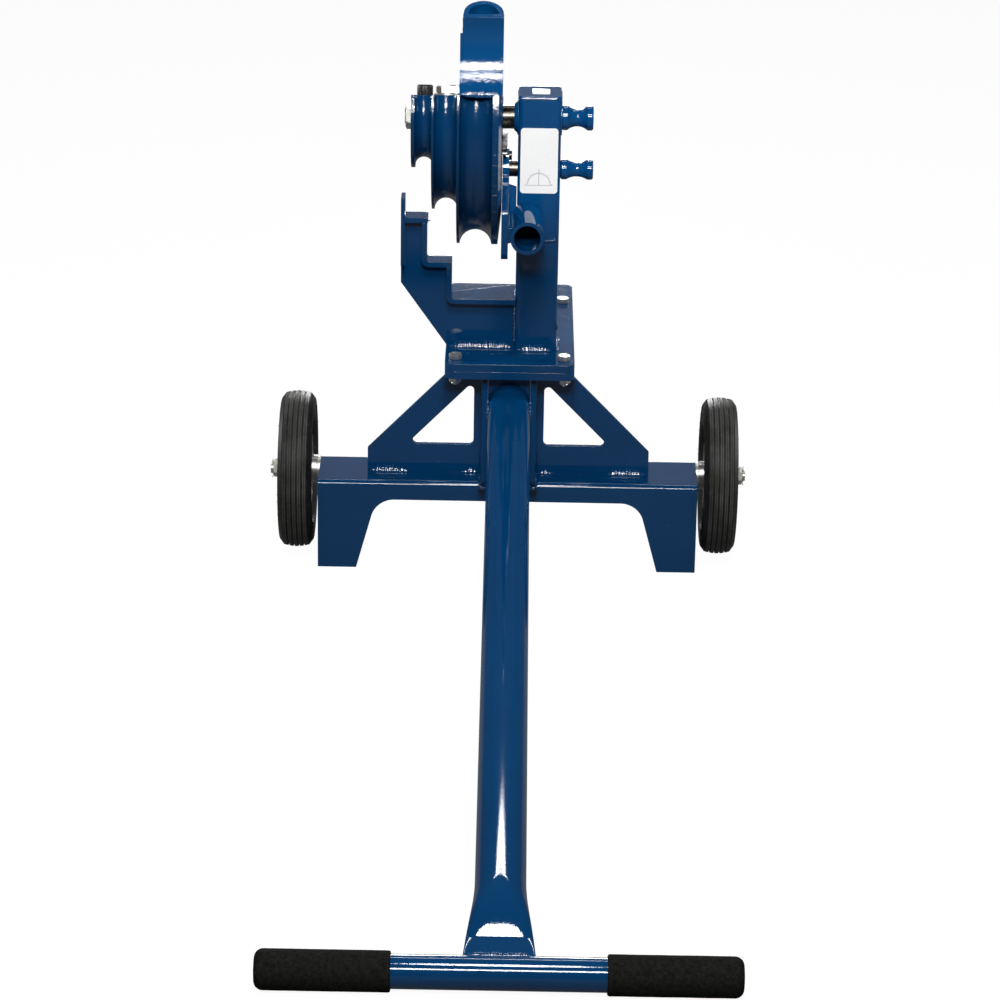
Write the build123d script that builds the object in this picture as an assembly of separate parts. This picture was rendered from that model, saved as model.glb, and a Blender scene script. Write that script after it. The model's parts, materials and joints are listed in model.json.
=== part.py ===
from build123d import *
import math
import os

# Mechanical conduit bender, millimetres, +Z up, floor at z = 0.
# The tow handle points to -Y, the wheels sit on the X axis direction, and the origin is on the floor
# under the centre of the overall box.

# Stand: crossbeam, legs and end plates
BEAM_WIDTH = 463.0
BEAM_HEIGHT = 113.2
BEAM_DEPTH = 89.0
BEAM_SHEET = 5.0
BEAM_FILLET = 1.5
BEAM_LIP = 22.0
ARCH_HEIGHT = 89.5
ARCH_RADIUS = 29.0
LEG_FOOT = 47.0
LEG_SLOPE = 31.0
END_PLATE = 5.0
FOOT_DEPTH = 62.0

# Stand: head carriers between the crossbeam and the base plates
HEAD_RISE = 137.8
CHEEK_SHEET = 7.0
CHEEK_NOSE = 22.0
CHEEK_TOP_SETBACK = 2.0
CHEEK_REACH = 250.0
CHEEK_CORNER = 12.0
CROSS_SHEET = 6.35
CROSS_GAP = 0.2
GUSSET_SHEET = 6.35
GUSSET_SETBACK = 36.0
GUSSET_FOOT = 172.0
GUSSET_EDGE = 29.5
GUSSET_TOP = 66.0
WINDOW_SIDE = 10.0
WINDOW_FOOT = 36.5
WINDOW_FLANGE = 29.5
WINDOW_CORNER = 5.0

# Tow tube and T-handle
TOW_DIAMETER = 50.8
TOW_WALL = 3.2
TOW_CLEAR = 14.6
TOW_TUCK = 10.0
TOW_SIDE_GAP = 0.3
SECTION_FLAT = 0.15
TONGUE_LENGTH = 30.0
TONGUE_WIDTH = 72.0
FLARE_LENGTH = 57.0
FLARE_WIDTH = 66.0
FLARE_SLOT = 3.75
FLARE_STEPS = (0.0, 0.25, 0.5, 0.75, 1.0, 1.6)
BAR_TO_BEAM = 1059.0
BAR_DIAMETER = 33.4
BAR_WALL = 3.4
BAR_LENGTH = 454.0
GRIP_WALL = 3.55
GRIP_LENGTH = 130.0
GRIP_END = 6.0
GRIP_ROUND = 9.0
GRIP_FIT = 0.05

# Axle and wheels
AXLE_DIAMETER = 12.7
AXLE_INSET = 18.0
AXLE_DROP = 0.25
AXLE_SPACER = 3.7
TYRE_DIAMETER = 193.0
TYRE_WIDTH = 40.5
TYRE_TREAD = 31.0
TYRE_CROWN = 2.5
TYRE_SHOULDER = 9.0
RIB_COUNT = 5
RIB_GROOVE = 2.4
RIB_DEPTH = 2.2
RIM_DIAMETER = 118.0
RIM_FLANGE = 5.0
RIM_WIDTH = 30.0
RIM_SHEET = 2.5
HUB_DIAMETER = 30.0
HUB_INNER = 24.0
HUB_OUTER = 21.5
WHEEL_PLAY = 0.3
WASHER_DIAMETER = 32.0
WASHER_SHEET = 2.0
AXLE_NUT_ACROSS = 19.05
AXLE_NUT = 6.3
COTTER_WIRE = 2.0
COTTER_REACH = 6.0
COTTER_INSET = 2.4

# Base plates and their bolts
PLATE_WIDTH = 156.0
PLATE_LENGTH = 320.0
PLATE_SHEET = 9.525
PLATE_OVERHANG = 13.0
PLATE_CORNER = 10.0
BOLT_DIAMETER = 9.525
BOLT_ACROSS = 14.29
BOLT_HEAD = 6.2
BOLT_EDGE = 12.5
BOLT_FRONT = 22.0
BOLT_PITCH = 224.0
BOLT_PLAY = 0.3
BOLT_TAIL = 3.0
BOLT_NUT = 8.3
BOLT_WASHER = 20.0
BOLT_WASHER_SHEET = 1.8

# Column with its bearing sleeves
COLUMN_SIDE = 50.8
COLUMN_WALL = 6.35
COLUMN_CORNER = 6.0
COLUMN_RISE = 27.5
COLUMN_OFFSET = 30.8
COLUMN_SETBACK = 40.75
CAP_SHEET = 4.0
LABEL_WIDTH = 44.5
LABEL_HEIGHT = 80.0
LABEL_SHEET = 0.4
LABEL_DROP = 6.5
LABEL_CORNER = 4.0
SHAFT_HEIGHT = 285.0
SLEEVE_WALL = 5.75
SLEEVE_NOSE = 5.0
SLEEVE_TIP_WALL = 1.5
PIN_DROP = 63.5
PIN_SLEEVE_WALL = 3.175
SEAT_FIT = 0.05

# Bending shoe: grooves from the column side outwards, large to small
SHOE_CLEAR = 0.5
FLANGE_WIDTH = 11.5
RIM_WIDTHS = (3.0, 3.0, 4.5)
GROOVE_WIDTHS = (38.0, 27.2, 20.8)
GROOVE_RADII = (134.0, 97.2, 49.0)
RIM_RADII = (151.0, 110.6, 61.7)
FLANGE_RADIUS = 151.5
FLANGE_DRAFT = 4.0
FLANGE_DRAFT_START = 112.0
FLAT_RISE = 23.7
SHOE_BACK = 60.0
SHOE_HUB = 34.0
SHOE_TILT = 15.1
HUB_RECESS = 2.4
POCKET_FLOOR = 5.0
POCKET_WALL = 16.0
POCKET_RIB = 7.0
POCKET_RIB_ANGLES = (180, 225, 270)
SHAFT_DIAMETER = 28.0
SHAFT_FIT = 0.05
SHAFT_END_DIAMETER = 19.05
SPIGOT_DIAMETER = 14.0
SPIGOT_LENGTH = 22.0
NUT_ACROSS = 28.6
NUT_SHEET = 8.5
NUT_WASHER = 37.0
NUT_WASHER_SHEET = 1.5
STUD_TAIL = 0.8
SET_BOLT_DIAMETER = 15.875
SET_BOLT_ACROSS = 23.8
SET_BOLT_HEAD = 9.5
SET_WASHER = 32.0
SET_WASHER_SHEET = 2.4
SET_SCREW_DIAMETER = 12.7
SET_SCREW_HEAD = 19.05
SET_SCREW_HEIGHT = 12.7
SET_SCREW_SOCKET = 9.5
SET_SCREW_SOCKET_DEPTH = 6.0
SET_TIP_GAP = 0.1
SET_GAP = 1.475

# Hook: a strap that bends forwards, closed behind by a half-round saddle
HOOK_WIDTH = 47.0
HOOK_BEND = 73.0
HOOK_BASE_LEAN = 36.0
HOOK_TOP_LEAN = 39.0
HOOK_TRIM = 3.0
STRAP_SHEET = 6.0
SADDLE_EDGE = 0.5
SADDLE_WALL = 6.0
SADDLE_SIDE = 2.0
BRACE_SHEET = 3.2
BRACE_FOOT = 75.0
BRACE_HEIGHT = 71.0
BRACE_TOP = 10.0
LUG_SHEET = 8.0
LUG_WIDTH = 26.0
LUG_HEIGHT = 13.0
LUG_ROUND = 12.0
LUG_GAP = 2.0

# Ratchet segment, lever, pawl and lever pin
RATCHET_SHEET = 5.8
RATCHET_GAP = 2.5
RATCHET_TOOTH = 5.5
RATCHET_TEETH = 18
RATCHET_CHORD = 16.0
RATCHET_SCREW_ANGLES = (-125, -90, -55)
RATCHET_SCREW = 6.0
RATCHET_SCREW_RING = 27.0
RATCHET_SCREW_LENGTH = 18.0
RATCHET_SCREW_HEAD = 10.5
RATCHET_SCREW_CONE = 2.6
LEVER_SHEET = 8.0
LEVER_GAP = 10.0
LEVER_HEAD = 15.0
LEVER_REACH = 111.0
LEVER_TOP_DROP = 21.5
LEVER_FOOT_DROP = 81.5
LEVER_FOOT_BACK = 36.0
LEVER_CORNER = 9.0
LEVER_TANGENT = 0.9
TAIL_OUTSET = 4.0
TAIL_RISE = 2.0
TAIL_BOSS = 9.0
TAIL_SHEET = 3.6
SOCKET_DIAMETER = 40.0
SOCKET_BORE = 31.0
SOCKET_STOP = 0.3
SOCKET_DROP = 53.7
SOCKET_OFFSET = 2.7
BLOCK_HEIGHT = 18.0
BLOCK_LENGTH = 62.0
RIB_SHEET = 6.0
RIB_WIDTH = 9.2
RIB_RISE = 42.0
RIB_INSET = 3.0
PAWL_WIDTH = 10.0
PAWL_LENGTH = 44.0
PAWL_PIN = 8.0
PAWL_SIDE_GAP = 0.5
PAWL_TIP_GAP = 0.4
PAWL_NOSE = 9.0
PAWL_PIN_HEAD = 13.0
PAWL_PIN_HEAD_SHEET = 3.0
PIN_DIAMETER = 19.05

# Spool knobs on the shaft and on the lever pin
KNOB_GAP = 0.4
SHAFT_KNOB_LENGTH = 38.0
SHAFT_KNOB_END = 29.4
SHAFT_KNOB_WAIST = 20.0
PIN_KNOB_LENGTH = 39.0
PIN_KNOB_END = 24.0
PIN_KNOB_WAIST = 16.7
KNOB_RIM = 7.0
KNOB_CHAMFER = 1.6
PIN_SPIGOT = 10.0

# Stepped conduit rest beside the column
REST_SHEET = 9.5
REST_SETBACK = 52.7
REST_FOOT = 81.0
REST_SHOULDER = 81.0
PAD_SHEET = 6.35
PAD_FRONT = 12.7
PAD_DEPTH = 27.0
PAD_BACK = 62.0
PAD_DROPS = (86.3, 77.2, 70.4)
PAD_FILLET = 2.65
PAD_LAP = 1.0
STEP_SHIFT = 7.5
GUARD_SHEET = 4.8
GUARD_OUTSET = 12.0
GUARD_RISE = 23.5
GUARD_DROP = 54.0

# Sizes and places worked out from the sizes above
BEAM_FOLD = BEAM_SHEET + BEAM_FILLET
PAD_BEND = PAD_SHEET + PAD_FILLET
GRIP_DIAMETER = BAR_DIAMETER + 2 * GRIP_WALL
SLEEVE_DIAMETER = SHAFT_DIAMETER + 2 * SLEEVE_WALL
SLEEVE_TIP = SHAFT_DIAMETER + 2 * SLEEVE_TIP_WALL
PIN_SLEEVE = PIN_DIAMETER + 2 * PIN_SLEEVE_WALL
SADDLE_OUTER = HOOK_WIDTH - 2 * SADDLE_EDGE
SADDLE_INNER = SADDLE_OUTER - 2 * SADDLE_WALL
RATCHET_TIP = PIN_DROP - LEVER_HEAD - RATCHET_GAP
RATCHET_ROOT = RATCHET_TIP - RATCHET_TOOTH
TAIL_REACH = RATCHET_TIP + TAIL_OUTSET
BEAM_FRONT = (BAR_TO_BEAM + GRIP_DIAMETER / 2 - (PLATE_LENGTH - PLATE_OVERHANG)) / 2
HALF_BEAM = BEAM_WIDTH / 2
BAR_Y = BEAM_FRONT - BAR_TO_BEAM
BAR_Z = GRIP_DIAMETER / 2
AXLE_Y = BEAM_FRONT + BEAM_DEPTH - AXLE_INSET
AXLE_Z = BEAM_HEIGHT - BEAM_SHEET - AXLE_DROP - AXLE_DIAMETER / 2
WHEEL_CENTRE = HALF_BEAM + AXLE_SPACER + WHEEL_PLAY + HUB_INNER
WASHER_OUT = WHEEL_CENTRE + HUB_OUTER + WHEEL_PLAY + WASHER_SHEET
AXLE_HALF = WASHER_OUT + AXLE_NUT + COTTER_WIRE / 2 + COTTER_INSET
LOWER_PLATE_Z = BEAM_HEIGHT + HEAD_RISE
TOW_TOP_HEIGHT = LOWER_PLATE_Z - TOW_CLEAR - TOW_DIAMETER / 2
UPPER_PLATE_Z = LOWER_PLATE_Z + PLATE_SHEET
DECK_Z = UPPER_PLATE_Z + PLATE_SHEET
PLATE_FRONT = BEAM_FRONT - PLATE_OVERHANG
BOLT_X = PLATE_WIDTH / 2 - BOLT_EDGE
BOLT_YS = (PLATE_FRONT + BOLT_FRONT, PLATE_FRONT + BOLT_FRONT + BOLT_PITCH)
CHEEK_INNER = TOW_DIAMETER / 2 + TOW_SIDE_GAP
CHEEK_OUTER = CHEEK_INNER + CHEEK_SHEET
COLUMN_LEFT = COLUMN_OFFSET - COLUMN_SIDE / 2
COLUMN_RIGHT = COLUMN_OFFSET + COLUMN_SIDE / 2
COLUMN_FRONT = BEAM_FRONT + COLUMN_SETBACK
COLUMN_Y = COLUMN_FRONT + COLUMN_SIDE / 2
SHAFT_Z = DECK_Z + SHAFT_HEIGHT
COLUMN_TOP = SHAFT_Z + COLUMN_RISE
PIN_Z = SHAFT_Z - PIN_DROP
LEVER_RIGHT = COLUMN_LEFT - LEVER_GAP
LEVER_LEFT = LEVER_RIGHT - LEVER_SHEET
SHOE_RIGHT = LEVER_LEFT - SHOE_CLEAR
SHOE_LEFT = SHOE_RIGHT - FLANGE_WIDTH - sum(GROOVE_WIDTHS) - sum(RIM_WIDTHS)
HUB_LEFT = SHOE_LEFT + HUB_RECESS
TAIL_LEFT = LEVER_RIGHT - TAIL_SHEET
PAWL_LEFT = SHOE_RIGHT + PAWL_SIDE_GAP
PAWL_RIGHT = TAIL_LEFT - PAWL_SIDE_GAP
TAIL_Y = COLUMN_Y + TAIL_REACH
TAIL_Z = PIN_Z + TAIL_RISE
SOCKET_X = LEVER_RIGHT + SOCKET_OFFSET + SOCKET_DIAMETER / 2
SOCKET_Z = PIN_Z - SOCKET_DROP
SOCKET_FRONT = COLUMN_Y - LEVER_REACH
SOCKET_BACK = COLUMN_FRONT - SOCKET_STOP
HOOK_RIGHT = SHOE_RIGHT
HOOK_LEFT = HOOK_RIGHT - HOOK_WIDTH
HOOK_X = (HOOK_LEFT + HOOK_RIGHT) / 2
REST_Y = BEAM_FRONT + REST_SETBACK
PAD_Y = REST_Y - PAD_FRONT
GUARD_LEFT = SHOE_LEFT - GUARD_OUTSET
AT_SHAFT = Pos(0, COLUMN_Y, SHAFT_Z)
IN_SHOE = AT_SHAFT * Rot(-SHOE_TILT, 0, 0)
ALONG_X = Rot(0, 90, 0)


def groove_spans():
    """Left and right x of each groove, from the large one outwards."""
    spans = []
    right = SHOE_RIGHT - FLANGE_WIDTH
    for width, rim in zip(GROOVE_WIDTHS, RIM_WIDTHS):
        spans.append((right - width, right))
        right -= width + rim
    return spans


def step_edges():
    """The x of the two upright edges of the rest, and the z of its three pad tops, large to small."""
    edges = [span[0] - rim / 2 - STEP_SHIFT for span, rim in zip(groove_spans()[:2], RIM_WIDTHS)]
    tops = [SHAFT_Z - radius - drop for radius, drop in zip(GROOVE_RADII, PAD_DROPS)]
    return edges, tops


def yz_plate(points, radii, x_from, x_to):
    """A plate square to X, with an outline of (y, z) corners and their radii."""
    face = make_face(Plane.YZ * FilletPolyline(*points, radius=radii, close=True))
    return Pos(x_from, 0, 0) * extrude(face, x_to - x_from, dir=(1, 0, 0))


def xz_plate(points, radii, y_from, y_to):
    """A plate square to Y, with an outline of (x, z) corners and their radii."""
    face = make_face(Plane.XZ * FilletPolyline(*points, radius=radii, close=True))
    return Pos(0, y_from, 0) * extrude(face, y_to - y_from, dir=(0, 1, 0))


def box(x_from, x_to, y_from, y_to, z_from, z_to):
    """A box from its six faces."""
    low = (Align.MIN, Align.MIN, Align.MIN)
    return Pos(x_from, y_from, z_from) * Box(x_to - x_from, y_to - y_from, z_to - z_from, align=low)


def rod(x_from, x_to, diameter):
    """A round bar along X, on the X axis."""
    bar = Cylinder(diameter / 2, x_to - x_from, align=(Align.CENTER, Align.CENTER, Align.MIN))
    return Pos(x_from, 0, 0) * ALONG_X * bar


def ring(x_from, x_to, outer, inner):
    """A washer or bush along X, on the X axis."""
    margin = outer
    return rod(x_from, x_to, outer) - rod(x_from - margin, x_to + margin, inner)


def hex_prism(across, height):
    """A hexagon across its flats, standing on z = 0."""
    return extrude(RegularPolygon(across / 2, 6, major_radius=False), height)


def turned(points):
    """A piece turned round the X axis from an outline of (x, radius) corners."""
    return revolve(make_face(Polyline(*points, close=True)), Axis.X)


def group(pieces):
    """Separate like pieces in one node."""
    return Compound(children=[piece.solid() for piece in pieces])


def crossbeam():
    inner = HALF_BEAM - END_PLATE
    back = BEAM_FRONT + BEAM_DEPTH
    roof = BEAM_HEIGHT - BEAM_SHEET
    section = [
        (BEAM_FRONT, 0),
        (BEAM_FRONT, BEAM_HEIGHT),
        (back, BEAM_HEIGHT),
        (back, BEAM_HEIGHT - BEAM_LIP),
        (back - BEAM_SHEET, BEAM_HEIGHT - BEAM_LIP),
        (back - BEAM_SHEET, roof),
        (BEAM_FRONT + BEAM_SHEET, roof),
        (BEAM_FRONT + BEAM_SHEET, 0),
    ]
    beam = yz_plate(section, [0, BEAM_FOLD, BEAM_FOLD, 0, 0, BEAM_FILLET, BEAM_FILLET, 0], -inner, inner)
    foot = HALF_BEAM - LEG_FOOT
    crown = foot - LEG_SLOPE * ARCH_HEIGHT / BEAM_HEIGHT
    floor_cut = BEAM_HEIGHT
    drift = LEG_SLOPE * floor_cut / BEAM_HEIGHT
    arch = [
        (-foot - drift, -floor_cut),
        (-crown, ARCH_HEIGHT),
        (crown, ARCH_HEIGHT),
        (foot + drift, -floor_cut),
    ]
    reach = BEAM_FRONT - BEAM_SHEET, BEAM_FRONT + 2 * BEAM_SHEET
    return beam - xz_plate(arch, [0, ARCH_RADIUS, ARCH_RADIUS, 0], *reach)


def end_plate(side):
    back = BEAM_FRONT + BEAM_DEPTH
    outline = [
        (BEAM_FRONT, 0),
        (BEAM_FRONT, BEAM_HEIGHT),
        (back, BEAM_HEIGHT),
        (back, BEAM_HEIGHT - BEAM_LIP),
        (BEAM_FRONT + FOOT_DEPTH, 0),
    ]
    xs = sorted((side * HALF_BEAM, side * (HALF_BEAM - END_PLATE)))
    plate = yz_plate(outline, [0, BEAM_FOLD, BEAM_FOLD, BEAM_FOLD, 0], *xs)
    hole = rod(-BEAM_WIDTH, BEAM_WIDTH, AXLE_DIAMETER + 2 * SEAT_FIT)
    return plate - Pos(0, AXLE_Y, AXLE_Z) * hole


def cheek(side):
    outline = [
        (BEAM_FRONT + CHEEK_TOP_SETBACK, LOWER_PLATE_Z),
        (BEAM_FRONT + CHEEK_REACH, LOWER_PLATE_Z),
        (BEAM_FRONT + CHEEK_REACH, LOWER_PLATE_Z - CHEEK_CORNER),
        (BEAM_FRONT + BEAM_DEPTH, BEAM_HEIGHT),
        (BEAM_FRONT - CHEEK_NOSE, BEAM_HEIGHT),
    ]
    xs = sorted((side * CHEEK_INNER, side * CHEEK_OUTER))
    return yz_plate(outline, [0, 0, 0, 0, CHEEK_CORNER], *xs)


def cross_plate():
    """Upright plate between the cheeks that the end of the tow tube meets."""
    front = BEAM_FRONT + TOW_TUCK
    half = CHEEK_INNER - CROSS_GAP
    return box(-half, half, front, front + CROSS_SHEET, BEAM_HEIGHT, LOWER_PLATE_Z)


def gusset(side):
    """Sloped bracket from the beam top to the lower plate, with a triangular window."""
    shoulder = BEAM_HEIGHT + GUSSET_EDGE
    outline = [
        (side * CHEEK_OUTER, BEAM_HEIGHT),
        (side * GUSSET_FOOT, BEAM_HEIGHT),
        (side * GUSSET_FOOT, shoulder),
        (side * GUSSET_TOP, LOWER_PLATE_Z),
        (side * CHEEK_OUTER, LOWER_PLATE_Z),
    ]
    front = BEAM_FRONT + GUSSET_SETBACK
    plate = xz_plate(outline, [0] * 5, front, front + GUSSET_SHEET)
    slope = (LOWER_PLATE_Z - shoulder) / (GUSSET_FOOT - GUSSET_TOP)
    flange = WINDOW_FLANGE * math.hypot(1, slope)
    inner = CHEEK_OUTER + WINDOW_SIDE
    base = BEAM_HEIGHT + WINDOW_FOOT
    top = shoulder + slope * (GUSSET_FOOT - inner) - flange
    outer = GUSSET_FOOT - (base + flange - shoulder) / slope
    window = [(side * inner, base), (side * outer, base), (side * inner, top)]
    cut = xz_plate(window, [WINDOW_CORNER] * 3, front - GUSSET_SHEET, front + 2 * GUSSET_SHEET)
    return plate - cut


def tow_section(plane, width, height):
    return plane * RectangleRounded(width, height, (height - SECTION_FLAT) / 2)


def tow_tube():
    """Round tube whose lower end is pressed down to a flat tongue, coped onto the handle bar."""
    run = BAR_TO_BEAM + TOW_TUCK
    slope = math.atan2(TOW_TOP_HEIGHT - BAR_Z, BAR_TO_BEAM)
    along = Vector(0, math.cos(slope), math.sin(slope))
    crease = BAR_DIAMETER / 2 + TONGUE_LENGTH
    flat = 2 * TOW_WALL + FLARE_SLOT
    stations = [BAR_DIAMETER / 4]
    sizes = [(TONGUE_WIDTH, flat)]
    for step in FLARE_STEPS:
        ease = (1 - step / FLARE_STEPS[-1]) ** 1.5
        stations.append(crease + step * FLARE_LENGTH)
        width = TOW_DIAMETER + (FLARE_WIDTH - TOW_DIAMETER) * ease
        sizes.append((width, TOW_DIAMETER - (TOW_DIAMETER - flat) * max(0, 1 - step) ** 2))
    planes = [Plane((0, BAR_Y, BAR_Z) + along * d, x_dir=(1, 0, 0), z_dir=along) for d in stations]
    length = (run + TOW_DIAMETER) / math.cos(slope) - stations[-1]
    shells = []
    for trim in (0, 2 * TOW_WALL):
        faces = [tow_section(plane, w - trim, h - trim) for plane, (w, h) in zip(planes, sizes)]
        shell = loft(Sketch() + faces[:2]) + loft(Sketch() + faces[1:])
        shells.append(shell + extrude(faces[-1], length, dir=along))
    bar = Pos(0, BAR_Y, BAR_Z) * rod(-BAR_LENGTH, BAR_LENGTH, BAR_DIAMETER)
    end = BEAM_FRONT + TOW_TUCK
    beyond = box(-run, run, end, end + run, -run, run)
    return shells[0] - shells[1] - bar - beyond


def handle_bar():
    half = BAR_LENGTH / 2
    return Pos(0, BAR_Y, BAR_Z) * ring(-half, half, BAR_DIAMETER, BAR_DIAMETER - 2 * BAR_WALL)


def grip(side):
    """Foam sleeve with a closed end, pushed onto the bar."""
    tip = BAR_LENGTH / 2 + GRIP_END
    mouth = tip - GRIP_LENGTH
    body = rod(mouth, tip, GRIP_DIAMETER)
    ends = body.edges().filter_by(GeomType.CIRCLE)
    body = fillet(ends.sort_by(Axis.X)[-1], GRIP_ROUND)
    body = fillet(body.edges().filter_by(GeomType.CIRCLE).sort_by(Axis.X)[0], GRIP_ROUND / 4)
    body -= rod(0, BAR_LENGTH / 2, BAR_DIAMETER + 2 * GRIP_FIT)
    turn = Rot(0, 0, 0) if side > 0 else Rot(0, 0, 180)
    return Pos(0, BAR_Y, BAR_Z) * turn * body


def at_axle(piece, side):
    """Puts a piece made for the right end of the axle at either end."""
    turn = Rot(0, 0, 0) if side > 0 else Rot(0, 0, 180)
    return Pos(0, AXLE_Y, AXLE_Z) * turn * piece


def hub_ends():
    return WHEEL_CENTRE - HUB_INNER, WHEEL_CENTRE + HUB_OUTER


def axle():
    bar = rod(-AXLE_HALF, AXLE_HALF, AXLE_DIAMETER)
    hole = Cylinder(COTTER_WIRE / 2 + SEAT_FIT, 2 * AXLE_DIAMETER)
    for side in (1, -1):
        bar -= Pos(side * (AXLE_HALF - COTTER_INSET), 0, 0) * hole
    return Pos(0, AXLE_Y, AXLE_Z) * bar


def axle_washers():
    """An inner and an outer washer beside each wheel hub."""
    bore = AXLE_DIAMETER + 2 * SEAT_FIT
    inner = ring(HALF_BEAM, HALF_BEAM + AXLE_SPACER, WASHER_DIAMETER, bore)
    outer = ring(WASHER_OUT - WASHER_SHEET, WASHER_OUT, WASHER_DIAMETER, bore)
    return group([at_axle(piece, side) for side in (1, -1) for piece in (inner, outer)])


def axle_nuts():
    nut = Pos(WASHER_OUT, 0, 0) * ALONG_X * hex_prism(AXLE_NUT_ACROSS, AXLE_NUT)
    nut -= rod(0, 2 * AXLE_HALF, AXLE_DIAMETER + 2 * SEAT_FIT)
    return group([at_axle(nut, side) for side in (1, -1)])


def cotter_pins():
    pin = Cylinder(COTTER_WIRE / 2, AXLE_DIAMETER + 2 * COTTER_REACH)
    place = Pos(AXLE_HALF - COTTER_INSET, 0, 0)
    return group([at_axle(place * pin, side) for side in (1, -1)])


def tyre(side):
    """Solid rubber tyre with a crowned tread cut by grooves between its ribs."""
    outer = TYRE_DIAMETER / 2
    seat = RIM_DIAMETER / 2 + SEAT_FIT
    half = TYRE_WIDTH / 2
    tread = TYRE_TREAD / 2
    shoulder = outer - TYRE_SHOULDER
    lip = seat + RIM_FLANGE - RIM_SHEET
    bead = RIM_WIDTH / 2 - RIM_SHEET - 2 * SEAT_FIT
    crown = ThreePointArc((tread, outer - TYRE_CROWN), (0, outer), (-tread, outer - TYRE_CROWN))
    right = Polyline(
        (-bead, seat), (bead, seat), (bead, lip), (half, lip + RIM_FLANGE), (half, shoulder),
        (tread, outer - TYRE_CROWN),
    )
    left = Polyline(
        (-tread, outer - TYRE_CROWN), (-half, shoulder), (-half, lip + RIM_FLANGE), (-bead, lip), (-bead, seat)
    )
    body = revolve(make_face(Curve() + [right, crown, left]), Axis.X)
    pitch = TYRE_TREAD / RIB_COUNT
    for index in range(1, RIB_COUNT):
        centre = -tread + index * pitch
        sag = TYRE_CROWN * (centre / tread) ** 2
        floor = 2 * (outer - sag - RIB_DEPTH)
        body -= ring(centre - RIB_GROOVE / 2, centre + RIB_GROOVE / 2, TYRE_DIAMETER * 2, floor)
    return at_axle(Pos(WHEEL_CENTRE, 0, 0) * body, side)


def rim(side):
    """Pressed steel rim: a flanged channel, a dished disc and a hub tube."""
    seat = RIM_DIAMETER / 2
    half = RIM_WIDTH / 2
    hub = HUB_DIAMETER / 2
    web = RIM_SHEET
    inner = seat - RIM_SHEET
    neck = hub + RIM_SHEET
    ends = [end - WHEEL_CENTRE for end in hub_ends()]
    outline = [
        (ends[0], hub), (ends[1], hub), (ends[1], neck), (web, neck), (web, inner), (half, inner),
        (half, inner + RIM_FLANGE), (half - SEAT_FIT - web, inner + RIM_FLANGE), (half - SEAT_FIT - web, seat),
        (-half + SEAT_FIT + web, seat), (-half + SEAT_FIT + web, inner + RIM_FLANGE),
        (-half, inner + RIM_FLANGE), (-half, inner), (-web, inner), (-web, neck), (ends[0], neck),
    ]
    return at_axle(Pos(WHEEL_CENTRE, 0, 0) * turned(outline), side)


def hub_bush(side):
    """Plain bearing bush pressed into the rim's hub tube."""
    bush = ring(*hub_ends(), HUB_DIAMETER - 2 * SEAT_FIT, AXLE_DIAMETER + 2 * SHAFT_FIT)
    return at_axle(bush, side)


def base_plate(bottom):
    plate = Pos(0, PLATE_FRONT + PLATE_LENGTH / 2, bottom) * extrude(
        RectangleRounded(PLATE_WIDTH, PLATE_LENGTH, PLATE_CORNER), PLATE_SHEET
    )
    hole = Cylinder(BOLT_DIAMETER / 2 + BOLT_PLAY, 4 * PLATE_SHEET)
    for side in (1, -1):
        for y in BOLT_YS:
            plate -= Pos(side * BOLT_X, y, bottom) * hole
    return plate


def at_bolts(piece):
    return group([Pos(side * BOLT_X, y, 0) * piece for side in (1, -1) for y in BOLT_YS])


def base_bolts():
    tail = LOWER_PLATE_Z - BOLT_WASHER_SHEET - BOLT_NUT - BOLT_TAIL
    low = (Align.CENTER, Align.CENTER, Align.MIN)
    head = Pos(0, 0, DECK_Z) * hex_prism(BOLT_ACROSS, BOLT_HEAD)
    return at_bolts(head + Pos(0, 0, tail) * Cylinder(BOLT_DIAMETER / 2, DECK_Z - tail, align=low))


def under_plate(piece, drop, sheet):
    """Bores a nut or washer for the bolt and hangs it under the lower plate."""
    hole = Cylinder(BOLT_DIAMETER / 2 + SEAT_FIT, 4 * sheet)
    return Pos(0, 0, LOWER_PLATE_Z - drop - sheet) * (piece - hole)


def base_washers():
    low = (Align.CENTER, Align.CENTER, Align.MIN)
    disc = Cylinder(BOLT_WASHER / 2, BOLT_WASHER_SHEET, align=low)
    return at_bolts(under_plate(disc, 0, BOLT_WASHER_SHEET))


def base_nuts():
    return at_bolts(under_plate(hex_prism(BOLT_ACROSS, BOLT_NUT), BOLT_WASHER_SHEET, BOLT_NUT))


def column():
    """Square tube, bored through both sides for the two sleeves."""
    inner = COLUMN_SIDE - 2 * COLUMN_WALL
    outside = RectangleRounded(COLUMN_SIDE, COLUMN_SIDE, COLUMN_CORNER)
    tube = extrude(outside - Rectangle(inner, inner), COLUMN_TOP - DECK_Z)
    tube = Pos(COLUMN_OFFSET, COLUMN_Y, DECK_Z) * tube
    through = (COLUMN_LEFT - COLUMN_SIDE, COLUMN_RIGHT + COLUMN_SIDE)
    tube -= AT_SHAFT * rod(*through, SLEEVE_DIAMETER + 2 * SEAT_FIT)
    return tube - Pos(0, COLUMN_Y, PIN_Z) * rod(*through, PIN_SLEEVE + 2 * SEAT_FIT)


def column_cap():
    plate = extrude(RectangleRounded(COLUMN_SIDE, COLUMN_SIDE, COLUMN_CORNER), CAP_SHEET)
    return Pos(COLUMN_OFFSET, COLUMN_Y, COLUMN_TOP) * plate


def column_label():
    """Thin blank plate on the front of the column."""
    face = Plane.XZ * RectangleRounded(LABEL_WIDTH, LABEL_HEIGHT, LABEL_CORNER)
    sheet = extrude(face, LABEL_SHEET, dir=(0, -1, 0))
    return Pos(COLUMN_OFFSET, COLUMN_FRONT, SHAFT_Z - LABEL_DROP - LABEL_HEIGHT / 2) * sheet


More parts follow.
